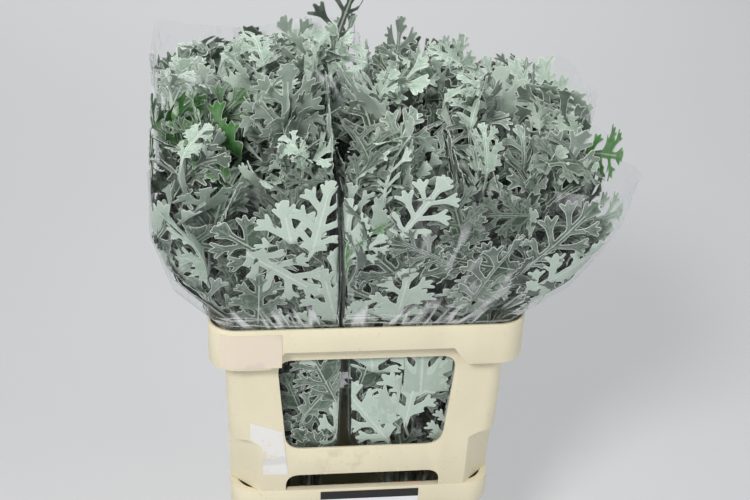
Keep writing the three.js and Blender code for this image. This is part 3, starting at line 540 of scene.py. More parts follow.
def film_sites(bunch, rng):
    """Places spread over the inside of the film, with the way out and the way up there."""
    def heights(first, last, row, neck):
        return [z for z in np.arange(first, last, row) if not neck[0] < z < neck[1]]

    sites = []
    above = ON_FILM["above"]
    seam_x, seam_y = (-1 if bunch["right"] else 1), (-1 if bunch["back"] else 1)
    lowest, mouth = ON_FILM["lowest"], bunch["mouth"]
    for k, z in enumerate(heights(
            lowest, mouth + ON_FILM["past_mouth"], ON_FILM["row"], ON_FILM["neck"])):
        loop, higher = (film_loop(bunch, level, ON_FILM["inset"]) for level in (z, z + above))
        ends = np.linalg.norm(np.roll(loop, -1, 0) - loop, axis=1)
        along = np.concatenate([[0], np.cumsum(ends)])
        count = int(round(along[-1] / ON_FILM["spacing"]))
        for i in range(count):
            shift = rng.uniform(-ON_FILM["shift"], ON_FILM["shift"])
            at = ((i + 0.5 * (k % 2) + shift) / count % 1) * along[-1]
            n = min(int(np.searchsorted(along, at, side="right")) - 1, len(loop) - 1)
            share = (at - along[n]) / max(ends[n], 1e-6)
            m = (n + 1) % len(loop)
            point, over = mix(loop[n], loop[m], share), mix(higher[n], higher[m], share)
            run = unit(loop[m] - loop[n])
            up = unit(np.array([*(over - point), above]))
            outward = unit(np.cross(np.array([*run, 0]), up))
            by_seam = max(outward[0] * seam_x, outward[1] * seam_y) > ON_FILM["facing_seam"]
            height = z + rng.uniform(-ON_FILM["shake"], ON_FILM["shake"])
            keep = rng.random() < (ON_FILM["seam_share"] if by_seam else 1)
            if keep and height < crown_height(*point) - ON_FILM["below_crown"][bunch["back"]]:
                sites.append((np.array([*point, height]), outward, up))
    face = "back" if bunch["back"] else "front"
    past, shake = ON_FILM["seam_past"], ON_FILM["seam_shake"]
    for z in heights(lowest + past, mouth + past, ON_FILM["seam_row"], ON_FILM["seam_neck"]):
        s = bunch_section(bunch, z)
        off = rng.uniform(*ON_FILM["by_seam"])
        x = s["left"] + off if bunch["right"] else s["right"] - off
        y = s[face]
        over = bunch_section(bunch, z + above)[face]
        up = unit(np.array([0, float(over - y), above]))
        outward = unit(np.cross(np.array([float(seam_y), 0, 0]), up))
        height = z + rng.uniform(-shake, shake)
        sites.append((np.array([float(x), float(y), height]), outward, up))
    return sites


def crown_sites(bunch, spacing, rng):
    """Places spread over the top of one bunch."""
    section = bunch_section(bunch, STEM["crown"])
    first, last = ON_CROWN["inset"]
    xs = np.arange(float(section["left"]) + first, float(section["right"]) - last, spacing)
    ys = np.arange(float(section["front"]) + first, float(section["back"]) - last, spacing)
    shake = lambda: rng.uniform(-ON_CROWN["shake"], ON_CROWN["shake"]) * spacing
    return [(x + shake(), y + shake()) for x in xs for y in ys]


def leaves_by_stem(bunch, b, stems, settings):
    """For each stem: its large leaves, those on the film and crown, and young ones at its tip."""
    rng = np.random.default_rng(SEED + SEED_STEPS["leaves"] * b)
    whole = {"from": 0, "to": 1, "outer": True, "whole": True}
    own_room = (LEAF["clear"], FLARE["lag"])
    leaves = []
    for c, (cell, bends) in enumerate(zip(cells_of(bunch), stems)):
        own = main_leaves(bunch, cell, bends, bunch["seed"] + c)
        for leaf, tip in zip(own, midribs(own, bunch, cell, *own_room)[0][-1]):
            past = tip[2] - crown_height(tip[0], tip[1]) - ON_CROWN["past"]
            leaf["length"] -= max(0, min(past, ON_CROWN["most_cut"]))
        stations = midribs(own, bunch, cell, *own_room)
        for k, leaf in enumerate(own):
            leaf["stations"] = [part[:, k] for part in stations]
            leaf["room"] = (cell, *own_room)
            leaf["flip"] = rng.random() < LEAF["flipped"]
        leaves.append(own)

    def nearest(x, y, z):
        return int(np.argmin([np.hypot(*(stem_point(bends, z)[:2] - (x, y))) for bends in stems]))

    def give(c, leaf, **facts):
        tip = leaf["stations"][0][-1]
        if any(np.linalg.norm(tip - place) < reach for place, reach in BARE):
            facts["tone"] = BARE_TONE
        leaves[c].append({"room": (whole, *ON_FILM["room"]), "flip": False, **leaf, **facts})

    for i, (site, outward, up) in enumerate(film_sites(bunch, rng)):
        c = nearest(*site)
        layer = LAYERS[i % len(LAYERS)]
        leaf = film_leaf(bunch, whole, stems[c], site, outward, up, rng.uniform(*layer["depth"]),
                         layer["upper_out"], rng)
        tone = rng.uniform(*layer["green" if leaf["upper_out"] else "silver"])
        give(c, leaf, tone=tone, fine=layer["fine"])
    for tier in TIERS:
        for x, y in crown_sites(bunch, settings.spacing / MM * tier["spacing"], rng):
            c = nearest(x, y, STEM["crown"])
            low = tier["drop"] + rng.uniform(*ON_CROWN["lower"])
            leaf = crown_leaf(bunch, whole, stems[c], x, y, low, tier["size"], rng)
            give(c, leaf, tone=rng.uniform(*tier["tone"]), fine=tier["fine"])
    for c, bends in enumerate(stems):
        for _ in range(YOUNG["count"]):
            x, y = bends[-1, :2] + rng.uniform(-YOUNG["spread"], YOUNG["spread"], 2)
            drop, size = rng.uniform(*YOUNG["drop"]), rng.uniform(*YOUNG["size"])
            leaf = crown_leaf(bunch, whole, bends, x, y, drop, size, rng)
            give(c, leaf, tone=rng.uniform(*YOUNG["tone"]))
    return leaves


# ---- Leaves: their cut outline -------------------------------------------------------------------

BLADE_LENGTH = 120.0
BLADE_HALF = 43.0
PETIOLE = 24.0
LOBES = [  # start and tip as shares of the blade's length and half width, and size
    ((0.03, 0), (0.13, 0.42), 0.62),
    ((0.12, 0), (0.30, 0.74), 0.85),
    ((0.33, 0), (0.56, 1.0), 1.0),
    ((0.57, 0), (0.82, 0.8), 0.92),
]
GRID = 1.5
BROAD = (0.8, 1.8)
SOFT = 1.1
SHRINK = 0.35
VEIN_STEP = 15
ON_LINE, OFF_LINE = 0.3, 0.9
DATA_REACH = 6
BLADES = {True: (0, 12, 0.55), False: (20, 6, 1.1)}  # fine or not: first seed, number, tolerance
FILL = {"spacing": 10.5, "deep": 2.4, "off_vein": 2.4}


def blade_bones(rng, broad, toothed):
    """Straight bones of a blade, as rows of start, end and radii, and those that carry veins."""
    bones, veins = [], []

    def bone(a, b, ra, rb, vein=True):
        bones.append((*a, *b, ra, rb))
        if vein:
            veins.append((*a, *b))

    def turned(vector, angle, scale):
        c, s = math.cos(angle), math.sin(angle)
        return np.array([vector[0] * c - vector[1] * s, vector[0] * s + vector[1] * c]) * scale

    bone((-PETIOLE, 0), (0, 0), 1.5, 1.9)
    bone((0, 0), (30, 0), 2.4, 4.0 * broad)
    bone((30, 0), (58, 0), 4.0 * broad, 4.6 * broad)
    bone((58, 0), (92, 0), 4.6 * broad, 3.8 * broad)
    for hand in (1, -1):
        for k, (start, tip, size) in enumerate(LOBES):
            shift = rng.uniform(-0.025, 0.025)
            a = np.array([(start[0] + shift) * BLADE_LENGTH, 0])
            b = np.array([
                (tip[0] + shift + rng.uniform(-0.02, 0.03)) * BLADE_LENGTH,
                hand * tip[1] * BLADE_HALF * rng.uniform(0.9, 1.0),
            ])
            v = b - a
            body, belly = a + v * 0.78, 4.3 * size * mix(1, broad, 0.5)
            bone(a, body, 3.0 * size * broad, belly)
            bone(body, b - v * 0.04, belly, 3.1 * size)

            def tooth(share, angle, length, ra, rb, vein=True):
                foot = a + v * share
                bone(foot, foot + turned(v, angle, length), ra, rb, vein)

            tooth(0.62, hand * rng.uniform(0.55, 0.8), 0.36, 3.4 * size, 2.9 * size, k > 0)
            spread = hand * rng.uniform(0.5, 0.75)
            if toothed or k > 1:
                tooth(0.58, -spread, 0.38, 3.4 * size, 3.0 * size, k > 0)
            if toothed and k in (2, 3):
                tooth(0.34, hand * 0.85, 0.27, 2.8, 2.5)
            if toothed and k == 2:
                tooth(0.4, -hand * 0.75, 0.26, 2.8, 2.5)
    bone((92, 0), (116, rng.uniform(-1.5, 1.5)), 4.2, 3.6)
    for hand in (1, -1):
        bone((94, 0), (109 + rng.uniform(-2, 2), hand * rng.uniform(10, 13)), 3.6, 3.1)
        bone((104, 0), (116 + rng.uniform(-2, 1), hand * rng.uniform(5.5, 8)), 3.2, 2.6, False)
    return np.array(bones), np.array(veins)


def bone_distance(p, bones):
    """Distances from points to each bone's middle line, and the share along it."""
    a, b = bones[:, 0:2], bones[:, 2:4]
    ab = b - a
    t = np.clip(((p[:, None, :] - a) * ab).sum(-1) / (ab**2).sum(-1), 0, 1)
    return np.linalg.norm(p[:, None, :] - (a + ab * t[..., None]), axis=-1), t


def blade_field(p, bones):
    """Negative inside the blade, with round inner corners where lobes meet."""
    d, t = bone_distance(p, bones)
    d = d - mix(bones[:, 4], bones[:, 5], t)
    low = d.min(1)
    return low - SOFT * np.log(np.exp(-(d - low[:, None]) / SOFT).sum(1)) + SHRINK


def blade_outline(bones):
    """The longest loop of the field's zero line, found on a square grid."""
    xs = np.arange(-PETIOLE - 4, BLADE_LENGTH + 8, GRID)
    ys = np.arange(-BLADE_HALF - 8, BLADE_HALF + 8, GRID)
    gx, gy = np.meshgrid(xs, ys, indexing="ij")
    f = blade_field(np.column_stack([gx.ravel(), gy.ravel()]), bones).reshape(gx.shape)
    f[np.abs(f) < 1e-6] = 1e-6
    links = {}

    def spot(i, j, di, dj):
        a, b = f[i, j], f[i + di, j + dj]
        t = a / (a - b)
        return (xs[i] + GRID * di * t, ys[j] + GRID * dj * t)

    for i in range(len(xs) - 1):
        for j in range(len(ys) - 1):
            inside = [f[i, j] < 0, f[i + 1, j] < 0, f[i + 1, j + 1] < 0, f[i, j + 1] < 0]
            if all(inside) or not any(inside):
                continue
            edges = [(i, j, 1, 0), (i + 1, j, 0, 1), (i, j + 1, 1, 0), (i, j, 0, 1)]
            for k in range(4):
                if inside[k] and not inside[(k + 1) % 4]:
                    back = next(m for m in range(k - 1, k - 5, -1)
                                if inside[m % 4] != inside[(m + 1) % 4])
                    links[edges[k]] = edges[back % 4]
    loops = []
    while links:
        first, following = links.popitem()
        loop = [first]
        while following != first and following in links:
            loop.append(following)
            following = links.pop(following)
        loops.append(loop)
    longest = max(loops, key=len)
    return np.array([spot(*edge) for edge in longest])


def thinned(loop, tolerance):
    """The loop with the points left out that lie within the tolerance of a straight line."""
    closed = np.vstack([loop, loop[:1]])
    keep = np.zeros(len(closed), bool)
    far = int(np.argmax(np.linalg.norm(loop - loop[0], axis=1)))
    keep[[0, far, len(closed) - 1]] = True
    spans = [(0, far), (far, len(closed) - 1)]
    while spans:
        a, b = spans.pop()
        if b - a < 2:
            continue
        line = closed[b] - closed[a]
        n = np.array([-line[1], line[0]]) / max(np.linalg.norm(line), 1e-9)
        off = np.abs((closed[a + 1:b] - closed[a]) @ n)
        k = int(np.argmax(off))
        if off[k] > tolerance:
            keep[a + 1 + k] = True
            spans += [(a, a + 1 + k), (a + 1 + k, b)]
    return closed[:-1][keep[:-1]]


def blade_filling(bones, veins):
    """Points spread inside a blade, off its edge and veins, so that it can bend."""
    spacing = FILL["spacing"]
    xs = np.arange(0, BLADE_LENGTH, spacing)
    ys = np.arange(-BLADE_HALF, BLADE_HALF, spacing)
    grid = np.array([(x + (j % 2) * spacing / 2, y) for x in xs for j, y in enumerate(ys)])
    off_vein = bone_distance(grid, np.column_stack([veins, np.zeros((len(veins), 2))]))[0].min(1)
    return grid[(blade_field(grid, bones) < -FILL["deep"]) & (off_vein > FILL["off_vein"])]


def blade_template(seed, tolerance):
    """A flat blade: points, triangles, rim edges and distances to the edge and to the veins."""
    rng = np.random.default_rng(seed)
    bones, veins = blade_bones(rng, rng.uniform(*BROAD), seed % 3 != 0)
    outline = thinned(blade_outline(bones), tolerance)
    points = [tuple(p) for p in outline]
    edges = [(i, (i + 1) % len(outline)) for i in range(len(outline))]
    for a, b in ((v[:2], v[2:]) for v in veins):
        count = max(1, int(round(np.linalg.norm(b - a) / VEIN_STEP)))
        line = np.array([mix(a, b, k / count) for k in range(count + 1)])
        inside = blade_field(line, bones) < -1.0
        row = []
        for p, is_in in zip(line, inside):
            if is_in:
                row.append(len(points))
                points.append(tuple(p))
        edges += list(zip(row[:-1], row[1:]))
    points += [tuple(p) for p in blade_filling(bones, veins)]
    lines = np.column_stack([veins, np.zeros((len(veins), 2))])
    rim_lines = np.hstack([outline, np.roll(outline, -1, 0)])
    to_rim = lambda p: bone_distance(p, rim_lines)[0].min(1)
    to_vein = lambda p: bone_distance(p, lines)[0].min(1)
    for _ in range(2):
        verts, _, faces, _, _, _ = delaunay_2d_cdt(
            [Vector(p) for p in points], edges, [list(range(len(outline)))], 1, 1e-3)
        p = np.array([tuple(v) for v in verts])
        faces = np.array([f for f in faces if len(f) == 3])
        middles = p[faces].mean(1)
        across = [(to(p) < ON_LINE)[faces].all(1) & (to(middles) > OFF_LINE)
                  for to in (to_vein, to_rim)]
        points += [tuple(m) for m in middles[across[0] | across[1]]]
    a, b, c = (p[faces[:, k]] for k in range(3))
    ab, ac = b - a, c - a
    area = ab[:, 0] * ac[:, 1] - ab[:, 1] * ac[:, 0]
    faces[area < 0] = faces[area < 0][:, ::-1]
    halves = dict.fromkeys((face[k], face[(k + 1) % 3]) for face in faces for k in range(3))
    rim = np.array([edge for edge in halves if edge[::-1] not in halves])
    on_edge = np.zeros(len(p), bool)
    on_edge[rim.ravel()] = True
    depth = np.where(on_edge, 0, to_rim(p))
    midrib = np.hypot(p[:, 1], np.maximum(p[:, 0] - 100, 0))
    return {"p": p, "faces": faces, "rim": rim, "edge": depth, "vein": to_vein(p),
            "midrib": midrib}


def blade_points(template, leaf, bunch, rng):
    """The template bent along one leaf's midrib: its middle surface."""
    points, sides, uppers, flatness = leaf["stations"]
    cell, clear, lag = leaf["room"]
    u, v = template["p"][:, 0] / BLADE_LENGTH, template["p"][:, 1] / BLADE_HALF
    total = leaf["petiole"] + leaf["length"]
    share = PETIOLE / BLADE_LENGTH
    along = np.where(u < 0, leaf["petiole"] * (1 + u / share),
                     leaf["petiole"] + u * leaf["length"]) / total
    last = LEAF["stations"]
    at = np.clip(along, 0, 1) * last
    i = np.minimum(at.astype(int), last - 1)
    t = (at - i)[:, None]
    p0, p1, p2, p3 = (points[np.clip(i + k, 0, last)] for k in (-1, 0, 1, 2))
    middle = 0.5 * (2 * p1 + (p2 - p0) * t + (2 * p0 - 5 * p1 + 4 * p2 - p3) * t**2
                    + (3 * p1 - p0 - 3 * p2 + p3) * t**3)
    side = unit(mix(sides[i], sides[i + 1], t))
    upper = unit(mix(uppers[i], uppers[i + 1], t))
    flat = mix(flatness[i], flatness[i + 1], t[:, 0])
    aside = v * leaf["half_width"]
    rise = leaf.get("cup", LEAF["cup"]) * (1 - 0.85 * flat) * (np.sqrt(aside**2 + 16) - 4)
    phase = rng.uniform(0, 2 * math.pi, 3)
    ruffle = leaf.get("ruffle", LEAF["ruffle"]) * (1 - 0.8 * flat) * np.minimum(1, np.abs(v)) * (
        np.sin(7 * u + phase[0] + 2 * np.sign(v)) + 0.3 * np.sin(15 * u + phase[1]))
    curl = -0.10 * leaf["half_width"] * (1 - 0.7 * flat) * np.maximum(0, np.abs(v) - 0.5) ** 2 * (
        1 + np.sin(phase[2]))
    bend = leaf.get("curl", 0.0) * aside**2 / leaf["half_width"]
    loose = middle + side * (aside - 0.3 * np.sign(aside) * np.abs(bend))[:, None]
    loose = loose + upper * (rise + ruffle + bend + 4 * curl)[:, None]
    return hold(loose, bunch, cell, 0.5 + leaf["depth"], clear, lag)


def blade_mesh(template, middle, thickness, flip, tone):
    """Both faces and the rim of a blade with its raised veins, with data for its colours."""
    faces, rim = template["faces"], template["rim"]
    a, b, c = (middle[faces[:, k]] for k in range(3))
    n = np.cross(b - a, c - a)
    normal = np.zeros_like(middle)
    for k in range(3):
        np.add.at(normal, faces[:, k], n)
    normal = unit(normal)
    raised = LEAF["ridge"] * np.exp(-((template["vein"] / LEAF["ridge_width"]) ** 2))[:, None]
    top = middle + normal * (thickness / 2)
    under = middle - normal * (thickness / 2 + raised)
    count = len(middle)
    r0, r1 = rim.T
    tris = [faces, faces[:, ::-1] + count, np.column_stack([r1, r0, r0 + count]),
            np.column_stack([r1, r0 + count, r1 + count])]
    near = lambda key: np.tile(np.clip(template[key] / DATA_REACH, 0, 1), 2)
    side = np.repeat((0.0, 1.0) if flip else (1.0, 0.0), count)
    data = np.column_stack([side, near("edge"), near("midrib"), np.full(2 * count, tone)])
    return np.vstack([top, under]), np.vstack(tris), data, near("vein")


def tube(path, radii, sides=STEM["sides"]):
    """A closed round stem along a path."""
    path = np.array(path, float)
    tangents = unit(np.gradient(path, axis=0))
    side = unit(np.cross(tangents, np.array([0, 1.0, 0])))
    other = np.cross(tangents, side)
    angle = np.arange(sides) * 2 * math.pi / sides
    ring = side[:, None] * np.cos(angle)[:, None] + other[:, None] * np.sin(angle)[:, None]
    points = (path[:, None] + ring * np.array(radii)[:, None, None]).reshape(-1, 3)
    tris = []
    for k in range(len(path) - 1):
        for i in range(sides):
            a, b = k * sides + i, k * sides + (i + 1) % sides
            tris += [(a, b, b + sides), (a, b + sides, a + sides)]
    end = (len(path) - 1) * sides
    for i in range(1, sides - 1):
        tris += [(0, i + 1, i), (end, end + i, end + i + 1)]
    tris = np.array(tris)
    a, b, c = (points[tris[:, k]] for k in range(3))
    volume = np.sum(a * np.cross(b, c))
    return points, tris if volume > 0 else tris[:, ::-1]


# ---- Meshes and materials ------------------------------------------------------------------------


def new_object(name, points, faces, material, smooth_angle=None):
    mesh = bpy.data.meshes.new(name)
    if isinstance(faces, np.ndarray):
        mesh.vertices.add(len(points))
        mesh.vertices.foreach_set("co", (np.asarray(points, float) * MM).ravel())
        mesh.loops.add(faces.size)
        mesh.loops.foreach_set("vertex_index", faces.astype(np.int32).ravel())
        mesh.polygons.add(len(faces))
        mesh.polygons.foreach_set("loop_start", np.arange(0, faces.size, 3, dtype=np.int32))
    else:
        mesh.from_pydata([tuple(c * MM for c in p) for p in points], [], [list(f) for f in faces])
    mesh.update(calc_edges=True)
    mesh.validate()
    mesh.polygons.foreach_set("use_smooth", np.ones(len(mesh.polygons), bool))
    if smooth_angle is not None:
        mesh.set_sharp_from_angle(angle=smooth_angle)
    mesh.materials.append(material)
    piece = bpy.data.objects.new(name, mesh)
    bpy.context.scene.collection.objects.link(piece)
    return piece


def point_data(piece, name, kind, field, values):
    """Data for each point of a piece, which its material reads."""
    layer = piece.data.attributes.new(name, kind, "POINT")
    layer.data.foreach_set(field, values.astype(np.float32).ravel())


def ride(piece, slot, *nodes):
    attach(piece, BODY)
    if nodes:
        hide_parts(*nodes)


def dress(node, material):
    """Give one of the frame's own pieces its material."""
    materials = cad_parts[node].data.materials
    materials.clear()
    materials.append(material)


def rgba(colour):
    return (*colour[:3], 1.0)


def shaded(colour, share):
    return [c * share for c in colour]


class Nodes:
    """Short calls for a material's nodes."""

    def __init__(self, name):
        self.material = bpy.data.materials.new(name)
        self.material.use_nodes = True
        self.tree = self.material.node_tree
        self.tree.nodes.clear()
        self.output = self.tree.nodes.new("ShaderNodeOutputMaterial")

    def add(self, kind, settings=None, **inputs):
        node = self.tree.nodes.new("ShaderNode" + kind)
        for key, value in (settings or {}).items():
            setattr(node, key, value)
        for key, value in inputs.items():
            self.put(node, key.replace("_", " "), value)
        return node

    def put(self, node, key, value):
        socket = node.inputs[key]
        if isinstance(value, bpy.types.NodeSocket):
            self.tree.links.new(value, socket)
        else:
            socket.default_value = value

    def fill(self, node, *values, first=0):
        """The node with values or links put into its inputs in their order."""
        for i, value in enumerate(values, first):
            self.put(node, i, value)
        return node

    def math(self, operation, *values, clamp=False):
        node = self.add("Math", {"operation": operation, "use_clamp": clamp})
        return self.fill(node, *values).outputs[0]

    def times(self, first, *others):
        for other in others:
            first = self.math("MULTIPLY", first, other)
        return first

    def plus(self, a, b, clamp=False):
        return self.math("ADD", a, b, clamp=clamp)

    def step(self, value, low, high):
        """0 below low and 1 above high, or the reverse where low is above high."""
        node = self.add("MapRange", {"interpolation_type": "SMOOTHSTEP"})
        limits = (low, high, 0.0, 1.0) if low < high else (high, low, 1.0, 0.0)
        return self.fill(node, value, *limits).outputs[0]

    def span(self, share, a, b):
        """The number a where the share is 0 and b where it is 1."""
        node = self.fill(self.add("Mix", {"data_type": "FLOAT"}), share)
        return self.fill(node, a, b, first=2).outputs[0]

    def blend(self, share, a, b):
        """The colour a where the share is 0 and b where it is 1."""
        node = self.fill(self.add("Mix", {"data_type": "RGBA"}), share)
        return self.fill(node, a, b, first=6).outputs[2]

    def over(self, base, colour, share, strength=None):
        """A colour laid over the base by a share, times a strength where one is given."""
        share = share if strength is None else self.times(share, strength)
        return self.blend(share, base, rgba(colour))

    def place(self, scale=None):
        coordinates = self.add("TexCoord").outputs["Object"]
        return self.stretch(coordinates, scale) if scale else coordinates

    def stretch(self, vector, scale):
        return self.add("Mapping", Vector=vector, Scale=scale).outputs[0]

    def noise(self, scale, detail, vector=None, roughness=0.5):
        return self.add("TexNoise", Scale=scale, Detail=detail, Roughness=roughness,
                        Vector=vector or self.place()).outputs["Fac"]

    def bump(self, height, strength, distance):
        return self.add("Bump", Height=height, Strength=strength, Distance=distance).outputs[0]

    def edge_on(self, power, **inputs):
        """1 where the surface is seen edge on, falling off by a power."""
        return self.math("POWER", self.add("LayerWeight", **inputs).outputs["Facing"], power)

    def layered(self, share, under, over):
        return self.fill(self.add("MixShader"), share, under, over).outputs[0]

    def finish(self, shader):
        self.tree.links.new(shader, self.output.inputs["Surface"])
        return self.material

    def solid(self, **inputs):
        """The finished material with one solid surface."""
        return self.finish(self.add("BsdfPrincipled", **inputs).outputs[0])


def leaf_material(settings):
    """Green upper sides and pale undersides under white felt, by the data of each point; a low tone
    paints shade on leaves deep in the foliage.
    """
    n = Nodes("felted_leaf")
    data = n.add("Attribute", {"attribute_name": "leaf_data"})
    side, edge, midrib = n.add("SeparateColor", Color=data.outputs["Color"]).outputs[:3]
    tone = data.outputs["Alpha"]
    lateral = n.add("Attribute", {"attribute_name": "leaf_veins"}).outputs["Fac"]
    coarse = n.noise(70, 4, roughness=0.6)
    fine = n.noise(900, 2)
    quilt = n.noise(170, 3, roughness=0.6)
    felt, bright = settings.margin, settings.bright_green
    bare = n.step(tone, 0.93, 0.95)
    # Tones below about 0.1 belong to leaves in painted shade: their midribs and margins are dulled.
    lit = n.step(tone, 0.04, 0.1)

    green = n.blend(n.step(tone, 0.1, 0.8), rgba(settings.upper_dark_and_painted_shade), rgba(settings.upper_light))
    green = n.over(green, bright, bare)
    felted = n.span(n.step(tone, 0.05, 0.5), 0.08, 0.26)
    green = n.over(green, felt, n.step(coarse, 0.4, 0.75), felted)
    green = n.over(green, felt, n.step(lateral, 0.3, 0.04), 0.16)
    green = n.over(green, felt, n.step(edge, 0.6, 0.1), 0.16)
    green = n.over(green, felt, n.step(midrib, 0.22, 0.06), n.span(lit, 0.15, 0.5))
    grey = n.blend(n.step(tone, 0.05, 0.75), rgba(settings.under_painted_shade), rgba(settings.under_light))
    grey = n.over(grey, shaded(bright, 1.25), bare)
    grey = n.over(grey, felt, n.step(coarse, 0.4, 0.8), 0.2)
    grey = n.over(grey, felt, n.step(midrib, 0.28, 0.08), 0.45)
    upper_side = n.step(side, 0.4, 0.6)
    colour = n.blend(upper_side, grey, green)
    crisp = n.times(n.span(n.step(tone, 0.1, 0.6), 0.85, 0.5), n.span(lit, 0.2, 1.0))
    colour = n.over(colour, felt, n.step(edge, 0.17, 0.05), crisp)
    colour = n.over(colour, felt, n.step(fine, 0.4, 0.75), 0.05)

    relief = n.plus(n.times(n.step(lateral, 0.35, 0.0), -0.25), quilt)
    relief = n.times(relief, n.span(upper_side, 0.3, 1.0))
    relief = n.plus(relief, n.times(fine, 0.25))
    return n.solid(Base_Color=colour, Roughness=0.78, Normal=n.bump(relief, 0.8, 0.0025),
                   Specular_IOR_Level=0.28, Sheen_Weight=0.1, Sheen_Roughness=0.5)


def plastic_material(name, settings):
    """Moulded plastic with water marks, specks, scuffs and a stain on the riser's front sill."""
    colour, stain = settings.colour, settings.stain
    n = Nodes(name)
    place = n.place()
    x, y, z = n.add("SeparateXYZ", Vector=place).outputs[:3]
    streak = n.noise(6, 4, n.place((1, 1, 0.18)))
    scratch = n.noise(40, 6, n.place((1.0, 1.0, 5.0)), 0.7)
    sill = n.times(n.step(x, -0.07, -0.045), n.step(x, 0.035, 0.01),
                   n.times(n.step(y, -0.10, -0.11), n.step(z, 0.318, 0.308)),
                   n.times(n.step(z, 0.262, 0.275), n.step(n.noise(55, 5), 0.42, 0.6)))
    base = n.over(rgba(colour), shaded(colour, 0.94), n.step(n.noise(9, 4, place), 0.35, 0.7))
    for marks, strength, shade in (
        (n.step(streak, 0.52, 0.75), 1.0, 1.0),
        (n.step(n.noise(260, 2, place), 0.68, 0.74), 1.0, 0.6),
        (n.step(scratch, 0.62, 0.7), 0.8, 0.8),
        (sill, 1.6, 1.0),
    ):
        base = n.over(base, shaded(stain, shade), marks, settings.dirt * strength)
    return n.solid(Base_Color=base, Roughness=n.math("MULTIPLY_ADD", scratch, 0.25, 0.33),
                   Normal=n.bump(n.noise(420, 3, place), 0.12, 0.0005))


def film_material(settings):
    """Clear gloss and faint haze, with painted highlights in white: fold lines, tucks, mouth glints
    and edges.
    """
    n = Nodes("clear_film")
    around = n.add("Attribute", {"attribute_name": "film_place"}).outputs["Vector"]
    height = n.add("SeparateXYZ", Vector=n.place()).outputs[2]
    above_rim = n.step(height, 0.497, 0.505)

    def creases(scale, stretch):
        """0 along the creases of a noise that is drawn out one way."""
        drawn_out = n.noise(scale, 3, n.stretch(around, stretch))
        return n.math("ABSOLUTE", n.math("SUBTRACT", drawn_out, 0.5))

    folds = creases(34.0, (1, 1, 0.09))
    tucks = creases(46.0, (0.14, 0.14, 1))
    wrinkle = n.noise(24, 4, n.place((1, 1, 0.4)), 0.55)
    crease = n.noise(80, 3, n.place((1.2, 1.2, 0.5)), 0.5)
    relief = n.plus(n.times(n.step(folds, 0.06, 0.0), 0.35), wrinkle)
    normal = n.bump(n.plus(relief, n.times(crease, 0.22)), 0.75, 0.012)

    gathered = n.times(n.step(height, 0.60, 0.51), above_rim)
    patches = n.step(n.plus(n.times(gathered, 0.12), n.noise(7, 2)), 0.5, 0.7)
    # Painted highlights: thin white lines along the folds, in patches that gather by the rim.
    lines = n.times(n.step(folds, 0.03, 0.002), patches)
    # Painted highlights: white lines along the tucks just above the rim.
    tuck_highlights = n.times(n.step(tucks, 0.04, 0.004), n.times(n.step(height, 0.55, 0.515), above_rim))
    # Painted glints: white patches by the mouth.
    sparks = n.noise(60, 4, n.place((1, 1, 0.5)))
    painted_glints = n.times(n.step(sparks, 0.5, 0.62), n.step(height, 0.70, 0.76),
                     n.step(n.noise(9, 1), 0.42, 0.6))
    haze = settings.haze
    # The film's own faint haze, then a painted sheen where the film is seen edge on, then the
    # painted highlights of the folds, tucks and glints, all in diffuse white.
    haze_and_painted_highlights = n.math("MULTIPLY_ADD", n.step(wrinkle, 0.5, 0.75), haze, haze * 0.4)
    haze_and_painted_highlights = n.plus(haze_and_painted_highlights, n.times(n.edge_on(5.0, Blend=0.3), 0.35))
    for marks, strength in ((lines, n.span(gathered, 0.3, 0.5)), (tuck_highlights, 0.45), (painted_glints, 0.85)):
        haze_and_painted_highlights = n.plus(haze_and_painted_highlights, n.times(marks, strength), clamp=True)
    shine = n.math("MULTIPLY_ADD", n.edge_on(3.0, Blend=0.32, Normal=normal), 0.18, 0.006)
    shine = n.plus(shine, n.times(lines, 0.06), clamp=True)

    clear = n.add("BsdfTransparent", Color=(0.985, 0.99, 0.99, 1)).outputs[0]
    white_haze_and_highlights = n.add("BsdfDiffuse", Color=rgba(settings.tint), Normal=normal).outputs[0]
    gloss = n.add("BsdfGlossy", Color=rgba(WHITE), Roughness=0.045, Normal=normal).outputs[0]
    return n.finish(n.layered(shine, n.layered(haze_and_painted_highlights, clear, white_haze_and_highlights), gloss))


# ---- Settings ------------------------------------------------------------------------------------


def colour_setting(name, description, default):
    return FloatVectorProperty(name=name, description=description, subtype="COLOR", size=3,
                               min=0, max=1, default=default)


def length_setting(name, description, default, low, high):
    return FloatProperty(name=name, description=description, default=default, unit="LENGTH",
                         min=low, max=high)


def share_setting(name, description, default):
    return FloatProperty(name=name, description=description, default=default, min=0, max=1)


class ContainerSettings(bpy.types.PropertyGroup):
    """Sizes and colours of the moulded bucket and riser."""

    colour: colour_setting("Plastic", "Colour of the moulded plastic", (0.85, 0.778, 0.573))
    stain: colour_setting("Stain", "Colour of the marks of water and handling", (0.52, 0.44, 0.31))
    dirt: share_setting("Wear", "How worn the plastic is", 0.22)
    edge: length_setting("Edge rounding", "Radius of the moulded edges", 0.0009, 0.0002, 0.003)


